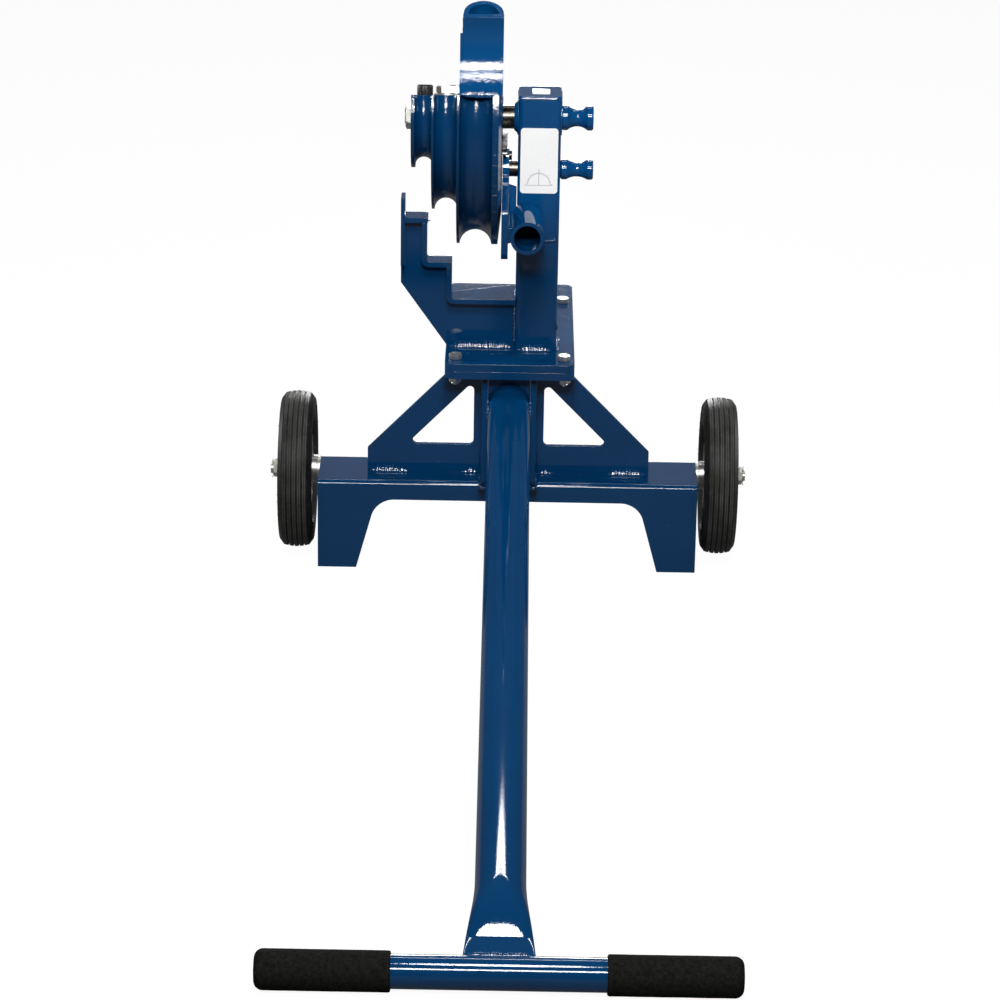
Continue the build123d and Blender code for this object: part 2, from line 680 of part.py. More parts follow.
def shaft_sleeve():
    """Bearing sleeve through the column, with a coned nose on the shoe side."""
    bore = SHAFT_DIAMETER / 2 + SHAFT_FIT
    wide = SLEEVE_DIAMETER / 2
    nose = COLUMN_LEFT - SLEEVE_NOSE
    outline = [
        (nose, bore), (nose, SLEEVE_TIP / 2), (COLUMN_LEFT, wide), (COLUMN_RIGHT, wide), (COLUMN_RIGHT, bore)
    ]
    return AT_SHAFT * turned(outline)


def pin_sleeve():
    bush = ring(COLUMN_LEFT, COLUMN_RIGHT, PIN_SLEEVE, PIN_DIAMETER + 2 * SHAFT_FIT)
    return Pos(0, COLUMN_Y, PIN_Z) * bush


def groove_cutter(span, depth):
    """The ring that a groove takes out of the shoe: round at the bottom, open outwards."""
    half = (span[1] - span[0]) / 2
    centre = ((span[0] + span[1]) / 2, depth + half)
    reach = 2 * FLANGE_RADIUS
    slot = Pos(*centre) * Rectangle(2 * half, reach, align=(Align.CENTER, Align.MIN))
    return revolve(Pos(*centre) * Circle(half) + slot, Axis.X)


def shoe_pockets():
    """Hollows in the column side of the casting, with radial ribs left standing."""
    left = groove_spans()[0][0] + POCKET_FLOOR
    outer = GROOVE_RADII[0] - POCKET_WALL
    far = 2 * FLANGE_RADIUS
    hollow = ring(left, SHOE_RIGHT + POCKET_FLOOR, 2 * outer, 2 * SHOE_HUB)
    keep = box(left - far, far, -far, SHOE_BACK - POCKET_WALL, -far, FLAT_RISE - POCKET_WALL)
    hollow = hollow & keep
    for angle in POCKET_RIB_ANGLES:
        rib = box(left, SHOE_RIGHT, 0, far, -POCKET_RIB / 2, POCKET_RIB / 2)
        hollow -= Rot(angle, 0, 0) * rib
    return hollow


def bending_shoe():
    """Cast sector with three stepped conduit grooves, a flat top and a hub round the shaft."""
    spans = groove_spans()
    body = rod(SHOE_RIGHT - FLANGE_WIDTH, SHOE_RIGHT, 2 * FLANGE_RADIUS)
    for span, rim_radius, rim_width in zip(spans, RIM_RADII, RIM_WIDTHS):
        body += rod(span[0] - rim_width, span[1], 2 * rim_radius)
    for span, depth in zip(spans, GROOVE_RADII):
        body -= groove_cutter(span, depth)
    far = 2 * FLANGE_RADIUS
    body = body & box(-far, far, -far, SHOE_BACK, -far, FLAT_RISE)
    draft = [
        (SHOE_RIGHT, FLANGE_DRAFT_START), (SHOE_RIGHT - FLANGE_DRAFT, FLANGE_RADIUS),
        (SHOE_RIGHT - FLANGE_DRAFT, far), (SHOE_RIGHT, far),
    ]
    body -= turned(draft)
    body -= shoe_pockets()
    body -= rod(-far, far, SHAFT_DIAMETER + 2 * SEAT_FIT)
    body -= rod(SHOE_LEFT - HUB_RECESS, HUB_LEFT, NUT_WASHER + 2 * HUB_RECESS)
    for x, diameter in ((set_bolt_x(), SET_BOLT_DIAMETER), (set_screw_x(), SET_SCREW_DIAMETER)):
        body -= Pos(x, 0, FLAT_RISE) * Cylinder(diameter / 2 + SEAT_FIT, 2 * FLAT_RISE)
    hole = rod(-RATCHET_SCREW_LENGTH - SEAT_FIT, RATCHET_SHEET, RATCHET_SCREW + 2 * SEAT_FIT)
    body = IN_SHOE * body
    for place in ratchet_screw_places():
        body -= place * hole
    return body


def set_bolt_x():
    return sum(groove_spans()[1]) / 2


def set_screw_x():
    return set_bolt_x() - SET_WASHER / 2 - SET_GAP - SET_SCREW_HEAD / 2


def set_tip():
    """Length of a set screw's shank from the flat to the shaft."""
    return FLAT_RISE - SHAFT_DIAMETER / 2 - SET_TIP_GAP


def set_bolt():
    high = (Align.CENTER, Align.CENTER, Align.MAX)
    head = Pos(0, 0, SET_WASHER_SHEET) * hex_prism(SET_BOLT_ACROSS, SET_BOLT_HEAD)
    length = set_tip() + SET_WASHER_SHEET
    shank = Pos(0, 0, SET_WASHER_SHEET) * Cylinder(SET_BOLT_DIAMETER / 2, length, align=high)
    return IN_SHOE * Pos(set_bolt_x(), 0, FLAT_RISE) * (head + shank)


def set_washer():
    low = (Align.CENTER, Align.CENTER, Align.MIN)
    disc = Cylinder(SET_WASHER / 2, SET_WASHER_SHEET, align=low)
    disc -= Cylinder(SET_BOLT_DIAMETER / 2 + SEAT_FIT, 4 * SET_WASHER_SHEET)
    return IN_SHOE * Pos(set_bolt_x(), 0, FLAT_RISE) * disc


def set_screw():
    low = (Align.CENTER, Align.CENTER, Align.MIN)
    high = (Align.CENTER, Align.CENTER, Align.MAX)
    head = Cylinder(SET_SCREW_HEAD / 2, SET_SCREW_HEIGHT, align=low)
    socket = hex_prism(SET_SCREW_SOCKET, SET_SCREW_HEIGHT)
    head -= Pos(0, 0, SET_SCREW_HEIGHT - SET_SCREW_SOCKET_DEPTH) * socket
    shank = Cylinder(SET_SCREW_DIAMETER / 2, set_tip(), align=high)
    return IN_SHOE * Pos(set_screw_x(), 0, FLAT_RISE) * (head + shank)


def knob_start():
    return COLUMN_RIGHT + KNOB_GAP


def drive_shaft():
    """Shaft through the sleeve, with a stud for the shoe nut and a spigot for the knob."""
    stud_end = HUB_LEFT - NUT_WASHER_SHEET - NUT_SHEET - STUD_TAIL
    shaft = rod(HUB_LEFT, knob_start(), SHAFT_DIAMETER)
    shaft += rod(stud_end, HUB_LEFT, SHAFT_END_DIAMETER)
    shaft += rod(knob_start(), knob_start() + SPIGOT_LENGTH, SPIGOT_DIAMETER)
    return AT_SHAFT * shaft


def shoe_washer():
    disc = ring(HUB_LEFT - NUT_WASHER_SHEET, HUB_LEFT, NUT_WASHER, SHAFT_END_DIAMETER + 2 * SEAT_FIT)
    return AT_SHAFT * disc


def shoe_nut():
    left = HUB_LEFT - NUT_WASHER_SHEET - NUT_SHEET
    nut = Pos(left, 0, 0) * ALONG_X * hex_prism(NUT_ACROSS, NUT_SHEET)
    return AT_SHAFT * (nut - rod(left - NUT_SHEET, HUB_LEFT, SHAFT_END_DIAMETER + 2 * SEAT_FIT))


def spool_knob(length, end, waist, spigot):
    """Turned knob with a waist for two fingers, bored for the spigot of its shaft."""
    left = knob_start()
    right = left + length
    tall = end / 2
    low = tall - KNOB_CHAMFER
    hole = spigot / 2 + SEAT_FIT
    floor = left + SPIGOT_LENGTH + SEAT_FIT
    near = left + KNOB_RIM
    far = right - KNOB_RIM
    start = Polyline((left, hole), (left, low), (left + KNOB_CHAMFER, tall), (near, tall))
    neck = ThreePointArc((near, tall), ((near + far) / 2, waist / 2), (far, tall))
    finish = Polyline(
        (far, tall), (right - KNOB_CHAMFER, tall), (right, low), (right, 0), (floor, 0), (floor, hole), (left, hole)
    )
    return revolve(make_face(Curve() + [start, neck, finish]), Axis.X)


def shaft_knob():
    return AT_SHAFT * spool_knob(SHAFT_KNOB_LENGTH, SHAFT_KNOB_END, SHAFT_KNOB_WAIST, SPIGOT_DIAMETER)


def ratchet_screw_places():
    """Where the segment's screws stand, on the shoe's column face below the shaft."""
    turns = [Rot(angle, 0, 0) for angle in RATCHET_SCREW_ANGLES]
    return [AT_SHAFT * turn * Pos(SHOE_RIGHT, RATCHET_SCREW_RING, 0) for turn in turns]


def ratchet_screw():
    """Countersunk screw, flush with the segment's outer face."""
    cone = RATCHET_SHEET - RATCHET_SCREW_CONE
    shank = RATCHET_SCREW / 2
    outline = [
        (-RATCHET_SCREW_LENGTH, 0), (-RATCHET_SCREW_LENGTH, shank), (cone, shank),
        (RATCHET_SHEET, RATCHET_SCREW_HEAD / 2), (RATCHET_SHEET, 0),
    ]
    return turned(outline)


def ratchet_screws():
    return group([place * ratchet_screw() for place in ratchet_screw_places()])


def ratchet_segment():
    """Saw-toothed segment below the shaft, screwed to the shoe's column face."""
    pitch = 2 * math.pi / RATCHET_TEETH
    points = []
    for index in range(RATCHET_TEETH):
        angle = index * pitch
        points.append((RATCHET_ROOT * math.cos(angle), RATCHET_ROOT * math.sin(angle)))
        points.append((RATCHET_TIP * math.cos(angle), RATCHET_TIP * math.sin(angle)))
    wheel = extrude(make_face(Plane.YZ * Polyline(*points, close=True)), RATCHET_SHEET, dir=(1, 0, 0))
    far = 2 * RATCHET_TIP
    wheel -= box(-far, far, -far, far, -RATCHET_CHORD, far)
    segment = AT_SHAFT * Pos(SHOE_RIGHT, 0, 0) * wheel
    for place in ratchet_screw_places():
        segment -= place * ratchet_screw()
    return segment


def hook_foot():
    """The y, in the shoe's own frame, of the strap's front face where it stands on the flat."""
    return -math.sqrt(RIM_RADII[0] ** 2 - FLAT_RISE**2)


def hook_axis():
    """The (y, z), in the shoe's own frame, of the axis that the hook is bent round."""
    lean = math.radians(HOOK_BASE_LEAN)
    return hook_foot() - HOOK_BEND * math.cos(lean), FLAT_RISE + HOOK_BEND * math.sin(lean)


def hook_turned(face):
    """Bends a section of (x, distance from the bend axis) into the hook's curve and trims it on the flat."""
    start = -HOOK_BASE_LEAN - HOOK_TRIM
    curve = revolve(face, Axis.X, revolution_arc=HOOK_TOP_LEAN - start)
    curve = Pos(0, *hook_axis()) * Rot(start, 0, 0) * curve
    far = 4 * HOOK_BEND
    return IN_SHOE * (curve - box(-far, far, -far, far, FLAT_RISE - far, FLAT_RISE))


def hook_strap():
    low = (Align.CENTER, Align.MIN)
    return hook_turned(Pos(HOOK_X, HOOK_BEND) * Rectangle(HOOK_WIDTH, STRAP_SHEET, align=low))


def saddle_section(width):
    """Half-round section with short straight sides, standing on the back of the strap."""
    low = (Align.CENTER, Align.MIN)
    base = Pos(HOOK_X, HOOK_BEND + STRAP_SHEET)
    upper = Pos(0, SADDLE_SIDE) * Circle(width / 2)
    upper -= Rectangle(2 * width, 2 * width, align=(Align.CENTER, Align.MAX))
    return base * (Rectangle(width, SADDLE_SIDE, align=low) + upper)


def hook_saddle():
    return hook_turned(saddle_section(SADDLE_OUTER) - saddle_section(SADDLE_INNER))


def hook_brace():
    """Side plate that stiffens the foot of the hook and follows its curve."""
    axis_y, axis_z = hook_axis()
    reach = HOOK_BEND + STRAP_SHEET / 2
    low = math.asin((FLAT_RISE - axis_z) / reach)
    high = math.asin((FLAT_RISE + BRACE_HEIGHT - axis_z) / reach)
    turns = (low, (low + high) / 2, high)
    foot, middle, top = [(axis_y + reach * math.cos(a), axis_z + reach * math.sin(a)) for a in turns]
    front = ThreePointArc(foot, middle, top)
    back = Polyline(top, (top[0] + BRACE_TOP, top[1]), (foot[0] + BRACE_FOOT, foot[1]), foot)
    face = make_face(Plane.YZ * (Curve() + [front, back]))
    return IN_SHOE * Pos(HOOK_LEFT - BRACE_SHEET, 0, 0) * extrude(face, BRACE_SHEET, dir=(1, 0, 0))


def hook_lug():
    """Rounded tab on the flat behind the set bolt."""
    right = HOOK_LEFT
    front = SET_WASHER / 2 + LUG_GAP
    outline = [
        (right, FLAT_RISE), (right, FLAT_RISE + LUG_HEIGHT), (right - LUG_WIDTH, FLAT_RISE + LUG_HEIGHT),
        (right - LUG_WIDTH, FLAT_RISE),
    ]
    return IN_SHOE * xz_plate(outline, [0, 0, LUG_ROUND, 0], front, front + LUG_SHEET)


def lever_plate():
    """Plate that swings on the lever pin, with a thin tail behind it for the pawl."""
    front = COLUMN_Y - LEVER_REACH
    low = PIN_Z - LEVER_FOOT_DROP
    outline = [
        (front, PIN_Z - LEVER_TOP_DROP), (front, low), (COLUMN_Y - LEVER_FOOT_BACK, low),
        (COLUMN_Y + LEVER_HEAD * LEVER_TANGENT, PIN_Z - LEVER_HEAD * LEVER_TANGENT),
        (COLUMN_Y, PIN_Z), (COLUMN_Y - LEVER_HEAD * LEVER_TANGENT, PIN_Z - LEVER_HEAD / 2),
    ]
    at_pin = Pos(0, COLUMN_Y, PIN_Z)
    plate = yz_plate(outline, [LEVER_CORNER / 2, LEVER_CORNER, LEVER_CORNER, 0, 0, 0], LEVER_LEFT, LEVER_RIGHT)
    plate += at_pin * rod(LEVER_LEFT, LEVER_RIGHT, 2 * LEVER_HEAD)
    boss = Pos(0, TAIL_Y, TAIL_Z) * rod(TAIL_LEFT, LEVER_RIGHT, 2 * TAIL_BOSS)
    tail = yz_plate(
        [
            (COLUMN_Y, PIN_Z - TAIL_BOSS), (TAIL_Y, TAIL_Z - TAIL_BOSS), (TAIL_Y, TAIL_Z + TAIL_BOSS),
            (COLUMN_Y, PIN_Z + TAIL_BOSS),
        ],
        [0] * 4, TAIL_LEFT, LEVER_RIGHT,
    )
    plate += tail + boss
    plate -= at_pin * rod(LEVER_LEFT - LEVER_SHEET, COLUMN_RIGHT, PIN_DIAMETER + 2 * SHAFT_FIT)
    hole = rod(LEVER_LEFT - LEVER_SHEET, COLUMN_RIGHT, PAWL_PIN + 2 * SEAT_FIT)
    return plate - Pos(0, TAIL_Y, TAIL_Z) * hole


def handle_socket():
    """Short tube on a block welded to the lever plate, open at the front for the operating handle.

    Its back end meets the column, which stops the lever.
    """
    along = Rot(90, 0, 0)
    length = SOCKET_BACK - SOCKET_FRONT
    bore = along * Cylinder(SOCKET_BORE / 2, 2 * length)
    tube = along * Cylinder(SOCKET_DIAMETER / 2, length)
    left = LEVER_RIGHT - SOCKET_X
    half = BLOCK_HEIGHT / 2
    tube += box(left, 0, -BLOCK_LENGTH / 2, BLOCK_LENGTH / 2, -half, half)
    return Pos(SOCKET_X, (SOCKET_FRONT + SOCKET_BACK) / 2, SOCKET_Z) * (tube - bore)


def socket_rib():
    """Small plate that ties the back of the socket to the lever plate."""
    right = LEVER_RIGHT + RIB_WIDTH
    top = SOCKET_Z + RIB_RISE
    outline = [(LEVER_RIGHT, SOCKET_Z), (LEVER_RIGHT, top), (right, top - RIB_INSET), (right, SOCKET_Z)]
    rib = xz_plate(outline, [0] * 4, SOCKET_BACK - RIB_SHEET, SOCKET_BACK)
    seat = Cylinder(SOCKET_DIAMETER / 2, 4 * RIB_SHEET)
    return rib - Pos(SOCKET_X, SOCKET_BACK, SOCKET_Z) * Rot(90, 0, 0) * seat


def drive_pawl():
    """Upright bar on the lever's tail, whose nose rides on the ratchet teeth."""
    inner = TAIL_Y - PAWL_WIDTH / 2
    top = TAIL_Z + PAWL_LENGTH
    tip_y = COLUMN_Y + math.sqrt((RATCHET_TIP + PAWL_TIP_GAP) ** 2 - (SHAFT_Z - top) ** 2)
    bar = box(PAWL_LEFT, PAWL_RIGHT, inner, inner + PAWL_WIDTH, TAIL_Z, top)
    for z in (TAIL_Z, top):
        bar += Pos(0, TAIL_Y, z) * rod(PAWL_LEFT, PAWL_RIGHT, PAWL_WIDTH)
    bar += Pos(0, TAIL_Y, TAIL_Z) * rod(PAWL_LEFT, PAWL_RIGHT, 2 * TAIL_BOSS)
    nose = [(TAIL_Y, top), (tip_y, top), (inner, top - PAWL_NOSE), (TAIL_Y, top - PAWL_NOSE)]
    bar += yz_plate(nose, [0] * 4, PAWL_LEFT, PAWL_RIGHT)
    return bar - Pos(0, TAIL_Y, TAIL_Z) * rod(SHOE_LEFT, COLUMN_RIGHT, PAWL_PIN + 2 * SHAFT_FIT)


def pawl_pin():
    pin = rod(PAWL_LEFT, LEVER_RIGHT, PAWL_PIN)
    pin += rod(LEVER_RIGHT, LEVER_RIGHT + PAWL_PIN_HEAD_SHEET, PAWL_PIN_HEAD)
    return Pos(0, TAIL_Y, TAIL_Z) * pin


def lever_pin():
    """Pull pin that the lever swings on, flush with the shoe side of the lever plate."""
    pin = rod(LEVER_LEFT, knob_start(), PIN_DIAMETER)
    pin += rod(knob_start(), knob_start() + SPIGOT_LENGTH, PIN_SPIGOT)
    return Pos(0, COLUMN_Y, PIN_Z) * pin


def pin_knob():
    knob = spool_knob(PIN_KNOB_LENGTH, PIN_KNOB_END, PIN_KNOB_WAIST, PIN_SPIGOT)
    return Pos(0, COLUMN_Y, PIN_Z) * knob


def rest_plate():
    """Upright plate with three steps, one for each pad."""
    edges, tops = step_edges()
    unders = [top - PAD_SHEET for top in tops]
    guard_foot = unders[2] - GUARD_DROP
    outline = [
        (COLUMN_LEFT, DECK_Z), (COLUMN_LEFT - REST_FOOT, DECK_Z), (GUARD_LEFT, DECK_Z + REST_SHOULDER),
        (GUARD_LEFT, guard_foot), (GUARD_LEFT + GUARD_SHEET, guard_foot), (GUARD_LEFT + GUARD_SHEET, unders[2]),
        (edges[1] - PAD_SHEET, unders[2]), (edges[1] - PAD_SHEET, unders[1]),
        (edges[0] - PAD_SHEET, unders[1]), (edges[0] - PAD_SHEET, unders[0]), (COLUMN_LEFT, unders[0]),
    ]
    radii = [0, 0, 0, 0, 0, 0, 0, PAD_BEND, 0, PAD_BEND, 0]
    return xz_plate(outline, radii, REST_Y, REST_Y + REST_SHEET)


def bent_pad(edge, leg_top, right, top, depth):
    """Flat bar bent into an L: an upright leg at the left and a level pad."""
    outline = [
        (edge - PAD_SHEET, leg_top), (edge - PAD_SHEET, top - PAD_SHEET), (right, top - PAD_SHEET),
        (right, top), (edge, top), (edge, leg_top),
    ]
    return xz_plate(outline, [0, PAD_BEND, 0, 0, PAD_FILLET, 0], PAD_Y, PAD_Y + depth)


def large_pad():
    edges, tops = step_edges()
    pad = bent_pad(edges[0], tops[1] - PAD_SHEET, COLUMN_LEFT, tops[0], PAD_BACK)
    left = edges[0] - PAD_SHEET
    corner = [(left, PAD_Y + PAD_DEPTH), (COLUMN_LEFT, PAD_Y + PAD_BACK), (left, PAD_Y + PAD_BACK)]
    cut = extrude(make_face(Polyline(*corner, close=True)), COLUMN_TOP)
    return pad - cut


def medium_pad():
    edges, tops = step_edges()
    return bent_pad(edges[1], tops[2] - PAD_SHEET, edges[0], tops[1], PAD_DEPTH)


def small_pad():
    edges, tops = step_edges()
    left = GUARD_LEFT + GUARD_SHEET
    return box(left, edges[1] + PAD_LAP, PAD_Y, PAD_Y + PAD_DEPTH, tops[2] - PAD_SHEET, tops[2])


def conduit_guard():
    top = step_edges()[1][2]
    foot = top - PAD_SHEET - GUARD_DROP
    return box(GUARD_LEFT, GUARD_LEFT + GUARD_SHEET, PAD_Y, PAD_Y + PAD_DEPTH, foot, top + GUARD_RISE)


def save(name, piece):
    export_step(piece, os.path.join("parts", name + ".step"))


PIECES = (
    crossbeam, cross_plate, tow_tube, handle_bar, axle, axle_washers, axle_nuts, cotter_pins, base_bolts, base_washers,
    base_nuts, column, column_cap, column_label, shaft_sleeve, pin_sleeve, rest_plate, large_pad, medium_pad,
    small_pad, conduit_guard, bending_shoe, set_bolt, set_washer, set_screw, drive_shaft, shoe_washer, shoe_nut,
    shaft_knob, ratchet_segment, ratchet_screws, hook_strap, hook_saddle, hook_brace, hook_lug, lever_plate,
    handle_socket, socket_rib, drive_pawl, pawl_pin, lever_pin, pin_knob,
)
PAIRS = (end_plate, cheek, gusset, grip, tyre, rim, hub_bush)

os.makedirs("parts", exist_ok=True)
for piece in PIECES:
    save(piece.__name__, piece())
for piece in PAIRS:
    save(piece.__name__ + "_left", piece(-1))
    save(piece.__name__ + "_right", piece(1))
save("lower_base_plate", base_plate(LOWER_PLATE_Z))
save("upper_base_plate", base_plate(UPPER_PLATE_Z))
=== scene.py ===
import json
import math
import random

import bmesh
import bpy
from mathutils import Matrix, Vector, noise

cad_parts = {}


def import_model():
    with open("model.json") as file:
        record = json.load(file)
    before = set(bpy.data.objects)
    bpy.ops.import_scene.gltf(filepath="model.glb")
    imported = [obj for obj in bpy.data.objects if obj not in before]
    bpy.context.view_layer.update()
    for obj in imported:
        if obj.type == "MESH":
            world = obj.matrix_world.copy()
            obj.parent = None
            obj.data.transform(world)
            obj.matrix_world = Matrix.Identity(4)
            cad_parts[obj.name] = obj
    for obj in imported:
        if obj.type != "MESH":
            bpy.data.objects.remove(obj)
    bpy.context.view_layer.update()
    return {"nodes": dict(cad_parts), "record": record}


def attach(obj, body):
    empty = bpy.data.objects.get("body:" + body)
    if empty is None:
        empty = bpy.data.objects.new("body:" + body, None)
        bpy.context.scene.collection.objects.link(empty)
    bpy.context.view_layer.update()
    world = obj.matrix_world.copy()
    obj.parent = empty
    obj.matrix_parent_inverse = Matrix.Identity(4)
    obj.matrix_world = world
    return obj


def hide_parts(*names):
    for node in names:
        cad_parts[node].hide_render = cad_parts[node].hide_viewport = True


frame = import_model()
NODES = frame["nodes"]
MM = 0.001


# Materials


def grey(value):
    """An even grey of a given brightness."""
    return (value,) * 3


def new_material(name):
    """An empty node material with one Principled shader."""
    mat = bpy.data.materials.new(name)
    mat.use_nodes = True
    tree = mat.node_tree
    tree.nodes.clear()
    out = tree.nodes.new("ShaderNodeOutputMaterial")
    shader = tree.nodes.new("ShaderNodeBsdfPrincipled")
    tree.links.new(shader.outputs["BSDF"], out.inputs["Surface"])
    return mat, tree, shader


def coords(tree):
    """Object coordinates in metres: every piece shares the row's frame."""
    return tree.nodes.new("ShaderNodeTexCoord").outputs["Object"]


def noise_node(tree, vector, scale, detail=3.0, roughness=0.55, stretch=None):
    """Noise over a place in metres, which can be stretched along an axis."""
    if stretch:
        mapping = tree.nodes.new("ShaderNodeMapping")
        mapping.inputs["Scale"].default_value = stretch
        tree.links.new(vector, mapping.inputs["Vector"])
        vector = mapping.outputs["Vector"]
    node = tree.nodes.new("ShaderNodeTexNoise")
    node.inputs["Scale"].default_value = scale
    node.inputs["Detail"].default_value = detail
    node.inputs["Roughness"].default_value = roughness
    tree.links.new(vector, node.inputs["Vector"])
    return node.outputs["Fac"]


def ramp(tree, value, stops):
    """A colour for a value, from stops of place and colour."""
    node = tree.nodes.new("ShaderNodeValToRGB")
    points = node.color_ramp.elements
    while len(points) < len(stops):
        points.new(0.5)
    for point, (place, colour) in zip(points, stops):
        point.position = place
        point.color = (*colour, 1)
    tree.links.new(value, node.inputs["Fac"])
    return node.outputs["Color"]


def remap(tree, value, low, high, to_low, to_high):
    """Carries a value from one range over to another."""
    node = tree.nodes.new("ShaderNodeMapRange")
    for name, number in (("From Min", low), ("From Max", high), ("To Min", to_low), ("To Max", to_high)):
        node.inputs[name].default_value = number
    tree.links.new(value, node.inputs["Value"])
    return node.outputs["Result"]


def mix_colour(tree, share, first, second):
    """Mixes two colours, each a socket or a plain colour."""
    node = tree.nodes.new("ShaderNodeMix")
    node.data_type = "RGBA"
    share_in, first_in, second_in, mixed = node.inputs[0], node.inputs[6], node.inputs[7], node.outputs[2]
    for socket, value in ((first_in, first), (second_in, second)):
        if isinstance(value, bpy.types.NodeSocket):
            tree.links.new(value, socket)
        else:
            socket.default_value = (*value, 1)
    tree.links.new(share, share_in)
    return mixed


def math_node(tree, kind, *values):
    """A Math node on sockets or plain numbers."""
    node = tree.nodes.new("ShaderNodeMath")
    node.operation = kind
    for socket, value in zip(node.inputs, values):
        if isinstance(value, bpy.types.NodeSocket):
            tree.links.new(value, socket)
        else:
            socket.default_value = value
    return node.outputs[0]


def soft_edge(tree, radius):
    """A normal that rounds sharp edges a little, as paint and wear do."""
    node = tree.nodes.new("ShaderNodeBevel")
    node.samples = 4
    node.inputs["Radius"].default_value = radius
    return node.outputs["Normal"]


def bump(tree, height, strength, distance, normal=None):
    """A normal roughened by a height."""
    node = tree.nodes.new("ShaderNodeBump")
    node.inputs["Strength"].default_value = strength
    node.inputs["Distance"].default_value = distance
    tree.links.new(height, node.inputs["Height"])
    if normal:
        tree.links.new(normal, node.inputs["Normal"])
    return node.outputs["Normal"]


# Dark and light tone of the paint on sheet and tube, and of the paint on the casting, which is the same blue
# made darker as painted shade
PAINT = ((0.0008, 0.052, 0.168), (0.001, 0.062, 0.196))
SHADED_CAST_PAINT = ((0.0006, 0.029, 0.094), (0.0008, 0.038, 0.120))
# Specks in the paint, dust and a painted highlight on the tyres' ribs, and the softened edges and scratches
# of bare metal
SPECK = (0.30, 0.36, 0.42)
DUST_AND_SHEEN = (0.20, 0.20, 0.19)
METAL_EDGE, SCRATCH = 0.0005, 0.15


def paint_material(name, peel, peel_scale, gloss, edge=0.0009, tones=PAINT, index=1.5):
    """Blue enamel under a thin gloss: faint mottling, orange peel, dust specks and softened edges."""
    mat, tree, shader = new_material(name)
    at = coords(tree)
    cloud = noise_node(tree, at, scale=9, detail=4)
    tone = ramp(tree, cloud, list(zip((0.3, 0.7), tones)))
    grit = noise_node(tree, at, scale=310, detail=1)
    speck = remap(tree, grit, 0.80, 0.84, 0, 0.6)
    tree.links.new(mix_colour(tree, speck, tone, SPECK), shader.inputs["Base Color"])
    rounded = soft_edge(tree, edge)
    tree.links.new(rounded, shader.inputs["Normal"])
    fine = noise_node(tree, at, peel_scale, detail=2)
    tree.links.new(bump(tree, fine, peel, 0.0006, rounded), shader.inputs["Coat Normal"])
    smear = noise_node(tree, at, scale=22)
    tree.links.new(remap(tree, smear, 0.3, 0.75, 0.4, 0.5), shader.inputs["Roughness"])
    shader.inputs["Specular IOR Level"].default_value = 0.0
    shader.inputs["Coat Weight"].default_value = 1.0
    shader.inputs["Coat Roughness"].default_value = gloss
    shader.inputs["Coat IOR"].default_value = index
    return mat


def metal_material(name, dark, light, rough, scale=40, stretch=None, metallic=1.0):
    """Bare or plated metal: drifting tone, fine scratches and softened edges."""
    mat, tree, shader = new_material(name)
    at = coords(tree)
    cloud = noise_node(tree, at, scale, detail=4)
    tree.links.new(ramp(tree, cloud, [(0.3, dark), (0.72, light)]), shader.inputs["Base Color"])
    lines = noise_node(tree, at, scale=300, detail=2, stretch=stretch)
    rounded = soft_edge(tree, METAL_EDGE)
    tree.links.new(bump(tree, lines, SCRATCH, 0.0003, rounded), shader.inputs["Normal"])
    tree.links.new(remap(tree, cloud, 0.3, 0.75, rough, rough + 0.15), shader.inputs["Roughness"])
    shader.inputs["Metallic"].default_value = metallic
    return mat


# The tyres, in millimetres: place of the middle, half of the tread and distance of the ribs
WHEEL_X, TREAD_HALF, RIB_PITCH = 259.5, 15.5, 6.2


def rib_sheen_and_dust(tree, at):
    """Share of pale tone across the tread, a painted highlight on the ribs with some dust: most on the ribs'
    edges, none in the grooves and on the side walls.
    """
    split = tree.nodes.new("ShaderNodeSeparateXYZ")
    tree.links.new(at, split.inputs[0])
    out = math_node(tree, "SUBTRACT", math_node(tree, "ABSOLUTE", split.outputs["X"]), WHEEL_X * MM)
    # Ten whole ribs more keep the count positive all over the wheel
    start = 10 * RIB_PITCH * MM + TREAD_HALF * MM
    ribs = math_node(tree, "DIVIDE", math_node(tree, "ADD", out, start), RIB_PITCH * MM)
    middle = math_node(tree, "SUBTRACT", math_node(tree, "FRACT", ribs), 0.5)
    off = math_node(tree, "ABSOLUTE", middle)
    # Pale lines along the ribs' edges are a painted highlight; the grooves get none
    share = ramp(tree, off, [(0.0, grey(0.25)), (0.20, grey(0.4)), (0.27, grey(1)), (0.32, grey(0))])
    inside = math_node(tree, "LESS_THAN", math_node(tree, "ABSOLUTE", out), TREAD_HALF * MM)
    return math_node(tree, "MULTIPLY", share, inside)


def rubber_material(name, dark, light, scale, rough, grain, shine, pale_dust_and_sheen=None):
    """Rubber, foam or film: drifting tone, a fine grain and, on the tyres, ribs with a painted highlight and
    dust, and pale dust specks.
    """
    mat, tree, shader = new_material(name)
    at = coords(tree)
    cloud = noise_node(tree, at, scale, detail=5, roughness=0.65)
    tone = ramp(tree, cloud, [(0.35, dark), (0.75, light)])
    if pale_dust_and_sheen:
        # The tread's ribs get a painted highlight with some dust, in uneven patches
        patch = remap(tree, noise_node(tree, at, scale=35, detail=4), 0.3, 0.7, 0.3, 1.0)
        tone = mix_colour(tree, math_node(tree, "MULTIPLY", rib_sheen_and_dust(tree, at), patch), tone, pale_dust_and_sheen)
        dust = noise_node(tree, at, scale=260, stretch=(2.0, 1, 1))
        tone = mix_colour(tree, remap(tree, dust, 0.66, 0.74, 0, 0.8), tone, pale_dust_and_sheen)
    tree.links.new(tone, shader.inputs["Base Color"])
    fine = noise_node(tree, at, grain)
    tree.links.new(bump(tree, fine, 0.4, 0.0005), shader.inputs["Normal"])
    tree.links.new(remap(tree, cloud, 0.3, 0.75, rough, rough + 0.15), shader.inputs["Roughness"])
    shader.inputs["Specular IOR Level"].default_value = shine
    return mat


